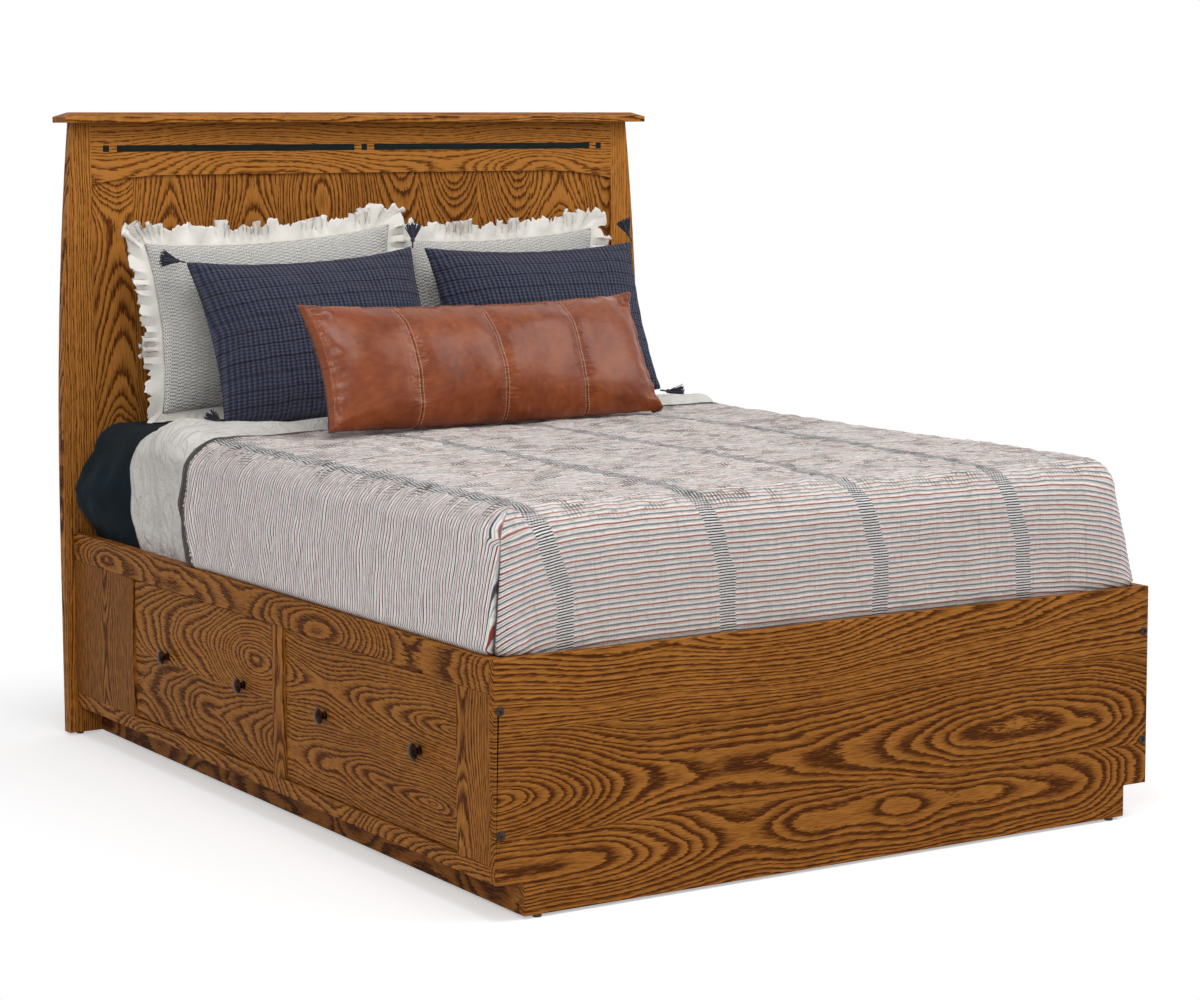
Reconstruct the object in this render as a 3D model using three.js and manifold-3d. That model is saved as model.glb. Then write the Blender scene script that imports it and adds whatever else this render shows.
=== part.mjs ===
import * as THREE from 'three';
import { mergeVertices } from 'three/addons/utils/BufferGeometryUtils.js';
import Module from 'manifold-3d';

// Queen platform storage bed in oak: a headboard under a moulded cap, a drawer pedestal, a deck and bedding.
// Millimetres, +Z up, +Y towards the head, +X to the right as seen from the foot of the bed.
// Inside the file, lengths along the bed start at the footboard's front face and heights at the floor.

// Mattress and the space kept round it
const mattressWidth = 1524;
const mattressLength = 2032;
const mattressHeight = 305;
const mattressEdgeRadius = 64;
const mattressSideSpace = 19.5;
const mattressFootSpace = 17;
const mattressHeadSpace = 2;

// Pedestal heights, from the floor up
const glideHeight = 6;
const toeHeight = 67;
const bottomRailHeight = 33;
const drawerOpeningHeight = 328;
const topRailHeight = 67.5;
const mattressRecess = 39.5;
const deckThickness = 18;
const basePanelThickness = 18;

// Pedestal lengths and board thicknesses
const sideFrameThickness = 25;
const footboardThickness = 19;
const innerBoardThickness = 19;
const toeSetBack = 62.5;
const footStileWidth = 128;
const headStileWidth = 358;
const mullionWidth = 53;
const looseFit = 0.3;

// Headboard
const headboardHeight = 1518.5;
const postLap = 42.5;
const postWidth = 89;
const postThickness = 32;
const postTaper = 42.5;
const postTaperStart = 500;
const postTaperShare = 2.2;
const capEdgeHeight = 14;
const capBevelHeight = 11;
const capBevelWidth = 28;
const capSideOverhang = 34.5;
const capFrontOverhang = 44.5;
const capBackOverhang = 8;
const topRailCrownDepth = 127.5;
const topRailArchDrop = 21.5;
const topRailArchRun = 209;
const headRailThickness = 26;
const panelThickness = 12;
const panelSetBack = 7;
const panelGrooveDepth = 10;
const inlaySize = 15.5;
const inlayGap = 20.5;
const inlayEndSpace = 39;
const inlayDrop = 62.7;
const inlayDepth = 2;

// Connector bolts
const boltHeadRadius = 9.5;
const boltHeadThickness = 2.5;
const boltSocketRadius = 3.6;
const boltSocketDepth = 1.6;
const boltShankRadius = 3.2;
const boltShankLength = 78;
const boltUpperDrop = 97.5;
const boltLowerRise = 95;

// Drawers, the wooden guides under them and the knobs
const drawerFrontThickness = 19;
const drawerReveal = 2.5;
const drawerSideSpace = 4;
const drawerBoxDepth = 600;
const drawerBoxHeight = 270;
const drawerWall = 13;
const drawerBottom = 6;
const drawerBoxLift = 16;
const guideWidth = 40;
const guideClearance = 0.5;
const runnerWall = 8;
const runnerTop = 4;
const runnerLift = 1.5;
const knobSpacing = 412;
const knobFootOffset = 15;
const knobProjection = 23;
const knobRadius = 17.5;
const knobNeckRadius = 7;
const knobBaseRadius = 10;
const knobBaseThickness = 3;
const knobRimThickness = 4;
const knobDome = 6;
const knobRise = 6;

// Floor glides
const glideRadius = 9;
const glideInset = 33;

// Bedding layers
const bedSeatGap = 0.3;
const fittedSheetThickness = 1;
const flatSheetThickness = 1.4;
const flatSheetHeadSpace = 275;
const coverletThickness = 5;
const coverletHeadSpace = 583;
const coverletHeadSlant = 52;
const coverletHeadBow = 52;
const coverletSideFlare = 30;
const coverletFootFlare = 2;
const coverletCornerFlare = 26;
const coverletRailGap = 0.6;
const coverletCrown = 8;
const coverletFold = 6;
const coverletFoldRun = 70;
const coverletPleat = 5;
const coverletHemRise = 9;
const sheetHemRise = 10;
const fittedCornerBulge = 56;
const fittedBulgeRun = 150;

// Pillows: their bottom edges stand at x and as far from the headboard as setBack, then lean, turn and tip
const pillowSeam = 5;
const pillowDrawIn = 20;
const whitePillow = { width: 670, height: 425, front: 60, back: 26, sag: 0, frill: 44, wave: 7 };
const frillTuck = { drop: 14, back: 22 };
const navyPillow = { width: 640, height: 420, front: 84, back: 50, sag: 20, frill: 0, wave: 0 };
const leatherPillow = { width: 955, height: 325, front: 84, back: 60, sag: 6, frill: 0, wave: 0 };
const leatherSeamDip = 0.13;
const leatherSeamSpread = 0.07;
const pillowPlaces = {
  leftWhite: { x: -297, setBack: 144, yaw: -2, lean: 6, roll: 3 },
  rightWhite: { x: 325, setBack: 92, yaw: 0, lean: 6, roll: 0.9 },
  leftNavy: { x: -253, setBack: 352, yaw: 1.3, lean: 24, roll: 2 },
  rightNavy: { x: 396, setBack: 300, yaw: 1.4, lean: 20, roll: 0 },
  leather: { x: -33, setBack: 754, yaw: 4.2, lean: 26, roll: -0.4 },
};
const tasselCord = { radius: 2, length: 12 };
const tasselKnotRadius = 6;
const tasselSkirt = { radius: 10, length: 34 };

// Sizes that follow from the ones above
const innerHalfWidth = mattressWidth / 2 + mattressSideSpace;
const bedHalfWidth = innerHalfWidth + sideFrameThickness;
const sideLength = mattressLength + mattressFootSpace + mattressHeadSpace;
const sideStartY = footboardThickness;
const headY = sideStartY + sideLength;
const toeTop = glideHeight + toeHeight;
const openingBottom = toeTop + bottomRailHeight;
const openingTop = openingBottom + drawerOpeningHeight;
const railTop = openingTop + topRailHeight;
const deckTop = railTop - mattressRecess;
const deckBottom = deckTop - deckThickness;
const baseTop = toeTop + basePanelThickness;
const toeHalfWidth = bedHalfWidth - toeSetBack;
const openingWidth = (sideLength - footStileWidth - mullionWidth - headStileWidth) / 2;
const footOpening = { start: sideStartY + footStileWidth, end: sideStartY + footStileWidth + openingWidth };
const headOpening = { start: footOpening.end + mullionWidth, end: headY - headStileWidth };
const capUnderside = headboardHeight - capEdgeHeight - capBevelHeight;
const postInner = innerHalfWidth - postLap;
const postOuter = postInner + postWidth;
const capHalfLength = postOuter - postTaper + capSideOverhang;
const inlayReach = postInner - inlayEndSpace;
const boltX = bedHalfWidth - sideFrameThickness / 2;
const boltHeights = { upper: railTop - boltUpperDrop, lower: toeTop + boltLowerRise };
const knobZ = (openingBottom + openingTop) / 2 + knobRise;
const frontExtent = boltHeadThickness;
const backExtent = headY + postThickness + capBackOverhang;
const flatSheetHeadY = headY - flatSheetHeadSpace;
const coverletHeadY = headY - coverletHeadSpace;

// Facet counts of the round shapes
const roundSides = 16;
const knobSides = 18;
const cornerSteps = 4;
const taperSteps = 10;
const archSteps = 6;

const wasm = await Module();
wasm.setup();

const oak = new THREE.MeshStandardMaterial({ color: 0x93602a, roughness: 0.45 });
const oakDark = new THREE.MeshStandardMaterial({ color: 0x7f4f22, roughness: 0.5 });
const plywood = new THREE.MeshStandardMaterial({ color: 0xc79d68, roughness: 0.7 });
const ebony = new THREE.MeshStandardMaterial({ color: 0x16211f, roughness: 0.5 });
const bronze = new THREE.MeshStandardMaterial({ color: 0x2f2622, roughness: 0.4, metalness: 0.8 });
const blackPlastic = new THREE.MeshStandardMaterial({ color: 0x202020, roughness: 0.6 });
const ticking = new THREE.MeshStandardMaterial({ color: 0xe9e6df, roughness: 0.9 });
const navySheet = new THREE.MeshStandardMaterial({ color: 0x1b272e, roughness: 0.9 });
const whiteCotton = new THREE.MeshStandardMaterial({ color: 0xcfcac5, roughness: 0.9 });
const stripedCotton = new THREE.MeshStandardMaterial({ color: 0xcbbab3, roughness: 0.9 });
const navyWaffle = new THREE.MeshStandardMaterial({ color: 0x3c3d52, roughness: 0.95 });
const creamWeave = new THREE.MeshStandardMaterial({ color: 0xd5d0c6, roughness: 0.95 });
const cognacLeather = new THREE.MeshStandardMaterial({ color: 0x8e4a2b, roughness: 0.35 });

// The bed group shifts everything so that the middle of its outline stands on the origin.
const bed = new THREE.Group();
bed.position.y = (frontExtent - backExtent) / 2;

function add(name, geometry, material) {
  const mesh = new THREE.Mesh(geometry, material);
  mesh.name = name;
  bed.add(mesh);
  return mesh;
}

// Box between two corners.
function board(low, high) {
  const size = high.map((value, axis) => value - low[axis]);
  const box = new THREE.BoxGeometry(...size);
  return box.translate(...low.map((value, axis) => value + size[axis] / 2));
}

// A board on one side of the bed, given by its distances from the middle plane.
function sideBoard(side, inner, outer, low, high) {
  const reach = [side * inner, side * outer].sort((a, b) => a - b);
  return board([reach[0], ...low], [reach[1], ...high]);
}

// Positions and faces only, with shared corners.
function plain(geometry) {
  const bare = geometry.clone();
  bare.deleteAttribute('normal');
  bare.deleteAttribute('uv');
  return mergeVertices(bare);
}

function toSolid(geometry) {
  const bare = plain(geometry);
  return new wasm.Manifold(new wasm.Mesh({
    numProp: 3,
    vertProperties: new Float32Array(bare.attributes.position.array),
    triVerts: new Uint32Array(bare.index.array),
  }));
}

function toGeometry(solid) {
  const mesh = solid.getMesh();
  const geometry = new THREE.BufferGeometry();
  geometry.setAttribute('position', new THREE.BufferAttribute(new Float32Array(mesh.vertProperties), 3));
  geometry.setIndex(new THREE.BufferAttribute(new Uint32Array(mesh.triVerts), 1));
  return geometry;
}

function cut(geometry, ...tools) {
  return toGeometry(tools.reduce((solid, tool) => solid.subtract(toSolid(tool)), toSolid(geometry)));
}

function join(...geometries) {
  return toGeometry(geometries.map(toSolid).reduce((solid, next) => solid.add(next)));
}

// An outline in X and Z, as thick as the stretch from start to end along Y.
function slabAlongY(outline, start, end) {
  const slab = new THREE.ExtrudeGeometry(outline, { depth: end - start, bevelEnabled: false });
  return slab.rotateX(Math.PI / 2).translate(0, end, 0);
}

function rodAlongY(radius, x, z, start, end) {
  const rod = new THREE.CylinderGeometry(radius, radius, end - start, roundSides);
  return rod.translate(x, (start + end) / 2, z);
}

function polygon(points) {
  return new THREE.Shape(points.map(([x, y]) => new THREE.Vector2(x, y)));
}

// Headboard post: straight inside, and outside a long curve that draws in towards the cap.
function postOutline(side) {
  const points = [
    [side * postInner, capUnderside],
    [side * postInner, glideHeight],
    [side * postOuter, glideHeight],
  ];
  for (let step = 0; step <= taperSteps; step += 1) {
    const share = step / taperSteps;
    const height = postTaperStart + share * (capUnderside - postTaperStart);
    points.push([side * (postOuter - postTaper * share ** postTaperShare), height]);
  }
  return polygon(points);
}

function grooveTool(side) {
  const half = panelThickness / 2 + looseFit;
  const middle = headY + panelSetBack + panelThickness / 2;
  const deep = postInner + panelGrooveDepth + looseFit;
  const low = [middle - half, toeTop - looseFit];
  const high = [middle + half, capUnderside + toeHeight];
  return sideBoard(side, postInner - panelGrooveDepth, deep, low, high);
}

function boltHoles(side, start, end) {
  const radius = boltShankRadius + looseFit;
  return Object.values(boltHeights).map((z) => rodAlongY(radius, side * boltX, z, start, end));
}

for (const [word, side] of [['left', -1], ['right', 1]]) {
  const post = slabAlongY(postOutline(side), headY, headY + postThickness);
  add(`headboard_${word}_post`, cut(post, grooveTool(side)), oak);
}

// Top rail: its lower edge is flat in the middle and curves down to the posts.
function topRailOutline() {
  const crown = capUnderside - topRailCrownDepth;
  const flat = postInner - topRailArchRun;
  const shape = new THREE.Shape();
  shape.moveTo(-postInner, capUnderside);
  shape.lineTo(-postInner, crown - topRailArchDrop);
  shape.quadraticCurveTo(-flat - topRailArchRun / 2, crown, -flat, crown);
  shape.lineTo(flat, crown);
  shape.quadraticCurveTo(flat + topRailArchRun / 2, crown, postInner, crown - topRailArchDrop);
  shape.lineTo(postInner, capUnderside);
  shape.closePath();
  return new THREE.Shape(shape.getPoints(archSteps).slice(0, -1));
}

// Tongues on a rail's ends, which fill the grooves in the posts.
function tongued(rail, low, high) {
  const start = headY + panelSetBack;
  const reach = postInner + panelGrooveDepth;
  return join(rail, board([-reach, start, low], [reach, start + panelThickness, high]));
}

function inlayBoxes(clearance) {
  const z = capUnderside - inlayDrop;
  const half = inlaySize / 2 + clearance;
  const deep = headY + inlayDepth + clearance;
  const barInner = inlaySize / 2 + inlayGap - clearance;
  const barOuter = inlayReach - inlaySize / 2 - inlayGap + clearance;
  const [low, high] = [[headY, z - half], [deep, z + half]];
  const squares = [-inlayReach, 0, inlayReach].map((x) => board([x - half, ...low], [x + half, ...high]));
  const bars = [-1, 1].map((side) => sideBoard(side, barInner, barOuter, low, high));
  return [...squares, ...bars];
}

const panelTop = capUnderside - topRailCrownDepth + panelGrooveDepth;
const panelBack = headY + panelSetBack + panelThickness;
const panelRabbet = board(
  [-postInner - postWidth, headY + panelSetBack - looseFit, openingTop],
  [postInner + postWidth, headY + postThickness, panelTop + looseFit],
);
const topRailSlab = slabAlongY(topRailOutline(), headY, headY + headRailThickness);
const topRailBody = tongued(cut(topRailSlab, panelRabbet), panelTop + looseFit, capUnderside);
add('headboard_top_rail', cut(topRailBody, ...inlayBoxes(looseFit)), oak);
const inlayNames = ['left_square', 'middle_square', 'right_square', 'left_bar', 'right_bar'];
inlayBoxes(0).forEach((inlay, index) => add(`inlay_${inlayNames[index]}`, inlay, ebony));

// The lower board closes the head end of the pedestal and carries the panel.
const lowBoard = board([-postInner, headY, toeTop], [postInner, headY + headRailThickness, deckTop]);
add('headboard_lower_board', tongued(lowBoard, toeTop, deckTop), oak);

const panelReach = postInner + panelGrooveDepth;
const panelFront = headY + panelSetBack;
add('headboard_panel', board([-panelReach, panelFront, deckTop], [panelReach, panelBack, panelTop]), oak);

// Cap: a square lower edge, then a wide bevel on all four sides up to the flat top.
function capGeometry() {
  const rings = [
    [capUnderside, 0],
    [capUnderside + capEdgeHeight, 0],
    [headboardHeight, capBevelWidth],
  ].map(([z, inset]) => {
    const x = capHalfLength - inset;
    const [front, back] = [headY - capFrontOverhang + inset, backExtent - inset];
    return [[-x, front, z], [x, front, z], [x, back, z], [-x, back, z]];
  });
  const faces = [quad(...rings[0].slice().reverse()), quad(...rings[2])];
  for (const [lower, upper] of [[rings[0], rings[1]], [rings[1], rings[2]]]) {
    lower.forEach((corner, index) => {
      const next = (index + 1) % lower.length;
      faces.push(quad(corner, lower[next], upper[next], upper[index]));
    });
  }
  return surface(faces);
}

// Two triangles per quad. Corners that fall together make one triangle or none.
function quad(a, b, c, d) {
  return [[a, b, c], [a, c, d]];
}

function surface(faces) {
  const corners = faces.flat(2).flat();
  const geometry = new THREE.BufferGeometry();
  geometry.setAttribute('position', new THREE.BufferAttribute(new Float32Array(corners), 3));
  const merged = mergeVertices(geometry);
  const index = Array.from(merged.index.array);
  const kept = [];
  for (let at = 0; at < index.length; at += 3) {
    const [a, b, c] = index.slice(at, at + 3);
    if (a !== b && b !== c && c !== a) {
      kept.push(a, b, c);
    }
  }
  merged.setIndex(kept);
  return merged;
}

add('headboard_cap', capGeometry(), oak);

// Side frames: two long rails with three uprights between them, glued up round two drawer openings
for (const [word, side] of [['left', -1], ['right', 1]]) {
  const part = (startY, endY, low, high) => {
    return sideBoard(side, innerHalfWidth, bedHalfWidth, [startY, low], [endY, high]);
  };
  const frame = join(
    part(sideStartY, headY, openingTop, railTop),
    part(sideStartY, headY, toeTop, openingBottom),
    part(sideStartY, footOpening.start, openingBottom, openingTop),
    part(footOpening.end, headOpening.start, openingBottom, openingTop),
    part(headOpening.end, headY, openingBottom, openingTop),
  );
  add(`${word}_side_frame`, cut(frame, ...boltHoles(side, 0, boltShankLength)), oak);
  add(`${word}_toe_board`, sideBoard(
    side,
    toeHalfWidth - innerBoardThickness,
    toeHalfWidth,
    [sideStartY, glideHeight],
    [headY, toeTop],
  ), oakDark);
}

// Footboard: one wide board, notched at both lower corners for the toe space.
const footboardOutline = polygon([
  [-toeHalfWidth, glideHeight],
  [toeHalfWidth, glideHeight],
  [toeHalfWidth, toeTop],
  [bedHalfWidth, toeTop],
  [bedHalfWidth, railTop],
  [-bedHalfWidth, railTop],
  [-bedHalfWidth, toeTop],
  [-toeHalfWidth, toeTop],
]);
const footboardHoles = [-1, 1].flatMap((side) => boltHoles(side, -footboardThickness, 2 * footboardThickness));
add('footboard', cut(slabAlongY(footboardOutline, 0, footboardThickness), ...footboardHoles), oak);

// Connector bolts: a flat head with a round socket, and a plain shank, pointing along +Y from the head.
function boltGeometry() {
  const profile = [
    [0, boltShankLength - boltHeadThickness],
    [boltShankRadius, boltShankLength - boltHeadThickness],
    [boltShankRadius, 0],
    [boltHeadRadius, 0],
    [boltHeadRadius, -boltHeadThickness],
    [boltSocketRadius, -boltHeadThickness],
    [boltSocketRadius, boltSocketDepth - boltHeadThickness],
    [0, boltSocketDepth - boltHeadThickness],
  ];
  return new THREE.LatheGeometry(profile.map(([r, y]) => new THREE.Vector2(r, -y)), roundSides);
}

for (const [word, side] of [['left', -1], ['right', 1]]) {
  for (const [level, z] of Object.entries(boltHeights)) {
    add(`${word}_${level}_bolt`, boltGeometry().rotateX(Math.PI).translate(side * boltX, 0, z), bronze);
  }
}

// Glides under the footboard and the posts
function glide(x, y) {
  const disc = new THREE.CylinderGeometry(glideRadius, glideRadius, glideHeight, roundSides);
  return disc.rotateX(Math.PI / 2).translate(x, y, glideHeight / 2);
}

for (const [word, side] of [['left', -1], ['right', 1]]) {
  add(`${word}_foot_glide`, glide(side * (toeHalfWidth - glideInset), footboardThickness / 2), blackPlastic);
  add(`${word}_head_glide`, glide(side * (postOuter - glideInset), headY + postThickness / 2), blackPlastic);
}

// Inside the pedestal: the base panel, three bulkheads across it and the deck on top
add('base_panel', board([-innerHalfWidth, sideStartY, toeTop], [innerHalfWidth, headY, baseTop]), plywood);
add('deck_panel', board([-innerHalfWidth, sideStartY, deckBottom], [innerHalfWidth, headY, deckTop]), plywood);
const bulkheads = {
  foot: footOpening.start - innerBoardThickness,
  middle: (footOpening.end + headOpening.start - innerBoardThickness) / 2,
  head: headOpening.end,
};
for (const [word, y] of Object.entries(bulkheads)) {
  add(`${word}_bulkhead`, board(
    [-innerHalfWidth, y, baseTop],
    [innerHalfWidth, y + innerBoardThickness, deckBottom],
  ), plywood);
}

// Knob: a foot, a narrow neck and a domed head, turned round X so that it points out of the drawer front
function knobGeometry(side) {
  const shoulder = knobProjection - knobDome - knobRimThickness;
  const profile = [
    [0, 0],
    [knobBaseRadius, 0],
    [knobBaseRadius, knobBaseThickness],
    [knobNeckRadius, 2 * knobBaseThickness],
    [knobNeckRadius, shoulder - knobBaseThickness],
    [knobRadius - knobBaseThickness, shoulder],
    [knobRadius, shoulder + knobRimThickness / 2],
    [knobRadius - knobRimThickness / 2, shoulder + knobRimThickness],
    [knobRadius / 2, knobProjection - knobDome / 4],
    [0, knobProjection],
  ];
  const knob = new THREE.LatheGeometry(profile.map(([r, y]) => new THREE.Vector2(r, y)), knobSides);
  return knob.rotateZ(-side * Math.PI / 2);
}

// Each pair of drawers shares one wooden guide across the bed, and each drawer straddles it with a runner.
const boxBottom = openingBottom + drawerBoxLift;
const boxTop = boxBottom + drawerBoxHeight;
const boxInner = innerHalfWidth - drawerBoxDepth;
const guideTop = boxBottom - runnerTop - guideClearance;
const openings = { foot: footOpening, head: headOpening };
for (const [place, opening] of Object.entries(openings)) {
  const middle = (opening.start + opening.end) / 2;
  add(`${place}_drawer_guide`, board(
    [-innerHalfWidth, middle - guideWidth / 2, baseTop],
    [innerHalfWidth, middle + guideWidth / 2, guideTop],
  ), oakDark);
}

function drawerBox(side, opening) {
  const start = opening.start + drawerSideSpace;
  const end = opening.end - drawerSideSpace;
  const outer = sideBoard(side, boxInner, innerHalfWidth, [start, boxBottom], [end, boxTop]);
  const hollow = sideBoard(
    side,
    boxInner + drawerWall,
    innerHalfWidth - drawerWall,
    [start + drawerWall, boxBottom + drawerBottom],
    [end - drawerWall, boxTop + drawerWall],
  );
  return cut(outer, hollow);
}

function drawerRunner(side, middle) {
  const low = openingBottom + runnerLift;
  const half = guideWidth / 2 + guideClearance;
  const channel = sideBoard(
    side,
    boxInner,
    innerHalfWidth,
    [middle - half - runnerWall, low],
    [middle + half + runnerWall, boxBottom],
  );
  const slot = sideBoard(
    side,
    boxInner - runnerWall,
    innerHalfWidth + runnerWall,
    [middle - half, low - runnerWall],
    [middle + half, boxBottom - runnerTop],
  );
  return cut(channel, slot);
}

for (const [word, side] of [['left', -1], ['right', 1]]) {
  for (const [place, opening] of Object.entries(openings)) {
    const name = `${word}_${place}_drawer`;
    const frontOuter = innerHalfWidth + drawerFrontThickness;
    const middle = (opening.start + opening.end) / 2;
    add(`${name}_front`, sideBoard(
      side,
      innerHalfWidth,
      frontOuter,
      [opening.start + drawerReveal, openingBottom + drawerReveal],
      [opening.end - drawerReveal, openingTop - drawerReveal],
    ), oak);
    add(`${name}_box`, drawerBox(side, opening), plywood);
    add(`${name}_runner`, drawerRunner(side, middle), oakDark);
    for (const [end, way] of [['foot', -1], ['head', 1]]) {
      const y = middle - knobFootOffset + (way * knobSpacing) / 2;
      const knob = knobGeometry(side).translate(side * frontOuter, y, knobZ);
      add(`${name}_${end}_knob`, knob, bronze);
    }
  }
}

// Bedding follows the mattress: a box with rounded edges, and each layer lies parallel to it, further out.
const coreHalfWidth = mattressWidth / 2 - mattressEdgeRadius;
const mattressBottom = deckTop + bedSeatGap;
const mattressTop = mattressBottom + mattressHeight;
const mattressFoot = sideStartY + mattressFootSpace;
const mattressHead = mattressFoot + mattressLength;
const coreFoot = mattressFoot + mattressEdgeRadius;
const coreHead = mattressHead - mattressEdgeRadius;
const coreTop = mattressTop - mattressEdgeRadius;
const coreBottom = mattressBottom + mattressEdgeRadius;

function cornerPath(x, y, startAngle) {
  return Array.from({ length: cornerSteps + 1 }, (_, step) => {
    const angle = startAngle + (step / cornerSteps) * (Math.PI / 2);
    return { x, y, normal: [Math.cos(angle), Math.sin(angle)] };
  });
}

// The whole outline, anticlockwise from the head end of the left side.
const fullPath = [
  ...cornerPath(-coreHalfWidth, coreHead, Math.PI / 2),
  ...cornerPath(-coreHalfWidth, coreFoot, Math.PI),
  ...cornerPath(coreHalfWidth, coreFoot, 1.5 * Math.PI),
  ...cornerPath(coreHalfWidth, coreHead, 0),
];

function roundedProfile(offset, low, lowAngle) {
  const radius = mattressEdgeRadius + offset;
  const points = [];
  if (lowAngle < 0) {
    for (let step = -cornerSteps; step <= 0; step += 1) {
      const angle = (step / cornerSteps) * (Math.PI / 2);
      points.push({ out: radius * Math.cos(angle), z: coreBottom + radius * Math.sin(angle) });
    }
  } else {
    points.push({ out: radius, z: low });
  }
  for (let step = 0; step <= cornerSteps; step += 1) {
    const angle = (step / cornerSteps) * (Math.PI / 2);
    const out = step === cornerSteps ? 0 : radius * Math.cos(angle);
    points.push({ out, z: coreTop + radius * Math.sin(angle) });
  }
  points[0].out = lowAngle < 0 ? 0 : points[0].out;
  return points;
}

function pathPoint(station, profilePoint) {
  const { x, y, normal } = station;
  const { out, z, along = 0 } = profilePoint;
  return [x + normal[0] * out, y + normal[1] * out + along, z];
}

// Side strip between neighbouring stations, from the profile's first point up to its last.
function strip(stations, profileOf, closed) {
  const faces = [];
  const last = closed ? stations.length : stations.length - 1;
  for (let at = 0; at < last; at += 1) {
    const here = stations[at];
    const next = stations[(at + 1) % stations.length];
    const lower = profileOf(here);
    const upper = profileOf(next);
    for (let level = 0; level + 1 < lower.length; level += 1) {
      faces.push(quad(
        pathPoint(here, lower[level]),
        pathPoint(next, upper[level]),
        pathPoint(next, upper[level + 1]),
        pathPoint(here, lower[level + 1]),
      ));
    }
  }
  return faces;
}

function flatTop(z, xs, ys) {
  const faces = [];
  for (let i = 0; i + 1 < xs.length; i += 1) {
    for (let j = 0; j + 1 < ys.length; j += 1) {
      const corners = [[xs[i], ys[j]], [xs[i + 1], ys[j]], [xs[i + 1], ys[j + 1]], [xs[i], ys[j + 1]]];
      faces.push(quad(...corners.map(([x, y]) => [x, y, z(x, y)])));
    }
  }
  return faces;
}

function flipped(faces) {
  return faces.map((pair) => pair.map(([a, b, c]) => [a, c, b]));
}

const coreXs = [-coreHalfWidth, coreHalfWidth];
const coreYs = [coreFoot, coreHead];
const mattressProfile = roundedProfile(0, 0, -1);
add('mattress', surface([
  ...strip(fullPath, () => mattressProfile, true),
  ...flatTop(() => mattressTop, coreXs, coreYs),
  ...flipped(flatTop(() => mattressBottom, coreXs, coreYs)),
]), ticking);

// Fitted sheet: a skin over the top and down the sides, open underneath, loose at the two head corners
const fittedInner = bedSeatGap;
const fittedOuter = fittedInner + fittedSheetThickness;
const sheetHem = mattressBottom + sheetHemRise;
const fittedLevelShares = [0, 0.13, 0.27, 0.43, 0.62, 0.77, 0.92, 1];
const fittedBulgeShares = [0, 0.05, 0.42, 0.8, 1, 0.65, 0.3, 0.1];
const fittedLevels = fittedLevelShares.map((share) => sheetHem + share * (coreTop - sheetHem));
const looseYs = [0, 0.25, 0.6, 1].map((share) => flatSheetHeadY + bedSeatGap + share * fittedBulgeRun);
const fittedYs = [coreFoot, ...looseYs, coreHead];
const fittedPath = [
  ...fullPath.slice(0, cornerSteps + 1),
  ...looseYs.slice().reverse().map((y) => ({ x: -coreHalfWidth, y, normal: [-1, 0] })),
  ...fullPath.slice(cornerSteps + 1, 3 * (cornerSteps + 1)),
  ...looseYs.map((y) => ({ x: coreHalfWidth, y, normal: [1, 0] })),
  ...fullPath.slice(3 * (cornerSteps + 1)),
];

function fittedProfile(station, offset, bulge) {
  const radius = mattressEdgeRadius + offset;
  const along = Math.min(1, Math.max(0, (station.y - looseYs[0]) / fittedBulgeRun));
  const loose = along * Math.abs(station.normal[0]) ** 3;
  const points = fittedLevels.map((z, level) => ({ out: radius + bulge * loose * fittedBulgeShares[level], z }));
  for (let step = 1; step <= cornerSteps; step += 1) {
    const angle = (step / cornerSteps) * (Math.PI / 2);
    const out = step === cornerSteps ? 0 : radius * Math.cos(angle);
    points.push({ out, z: coreTop + radius * Math.sin(angle) });
  }
  return points;
}

const fittedFace = (station) => fittedProfile(station, fittedOuter, fittedCornerBulge);
const fittedLining = (station) => fittedProfile(station, fittedInner, 0);
const fittedRim = (station) => [fittedLining(station)[0], fittedFace(station)[0]];
add('fitted_sheet', surface([
  ...strip(fittedPath, fittedFace, true),
  ...flatTop(() => coreTop + mattressEdgeRadius + fittedOuter, coreXs, fittedYs),
  ...flipped(strip(fittedPath, fittedLining, true)),
  ...flipped(flatTop(() => coreTop + mattressEdgeRadius + fittedInner, coreXs, fittedYs)),
  ...strip(fittedPath, fittedRim, true),
]), navySheet);

// Flat sheet: a band over the bed, whose head end shows beyond the coverlet.
function archOutline(inner, outer, hem) {
  const side = (offset, direction) => {
    return roundedProfile(offset, hem, 0).map(({ out, z }) => [direction * (coreHalfWidth + out), z]);
  };
  return polygon([
    ...side(outer, -1),
    ...side(outer, 1).reverse(),
    ...side(inner, 1),
    ...side(inner, -1).reverse(),
  ]);
}

const flatInner = fittedOuter + bedSeatGap;
const flatOuter = flatInner + flatSheetThickness;
add('flat_sheet', slabAlongY(archOutline(flatInner, flatOuter, sheetHem), coreFoot, flatSheetHeadY), whiteCotton);

// Coverlet: over the top, down both sides and the foot, tucked inside the frame, with a turned-back head edge
const coverletInner = flatOuter + bedSeatGap;
const coverletHem = deckTop + coverletHemRise;
const coverAlongShares = [0, 0.02, 0.045, 0.2, 0.4, 0.6, 0.8, 1];
const coverAcrossShares = [0, 0.12, 0.26, 0.42, 0.58, 0.74, 0.88, 1];
const coverXs = coverAcrossShares.map((share) => (2 * share - 1) * coreHalfWidth);
const coverDrop = coreTop - railTop - coverletRailGap;
const coverLevels = [
  coverletHem,
  railTop + coverletRailGap,
  ...[0.01, 0.14, 0.29, 0.64, 1].map((share) => railTop + coverletRailGap + share * coverDrop),
];
const coverFlareShares = [0, 0, 1, 0.87, 0.74, 0.4, 0];
const coverBowShares = [-1.35, -0.96, -0.96, -0.54, -0.06, 0.8, 0.7];

function headEdge(x) {
  return coverletHeadY + (coverletHeadSlant * x) / coreHalfWidth;
}

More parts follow.
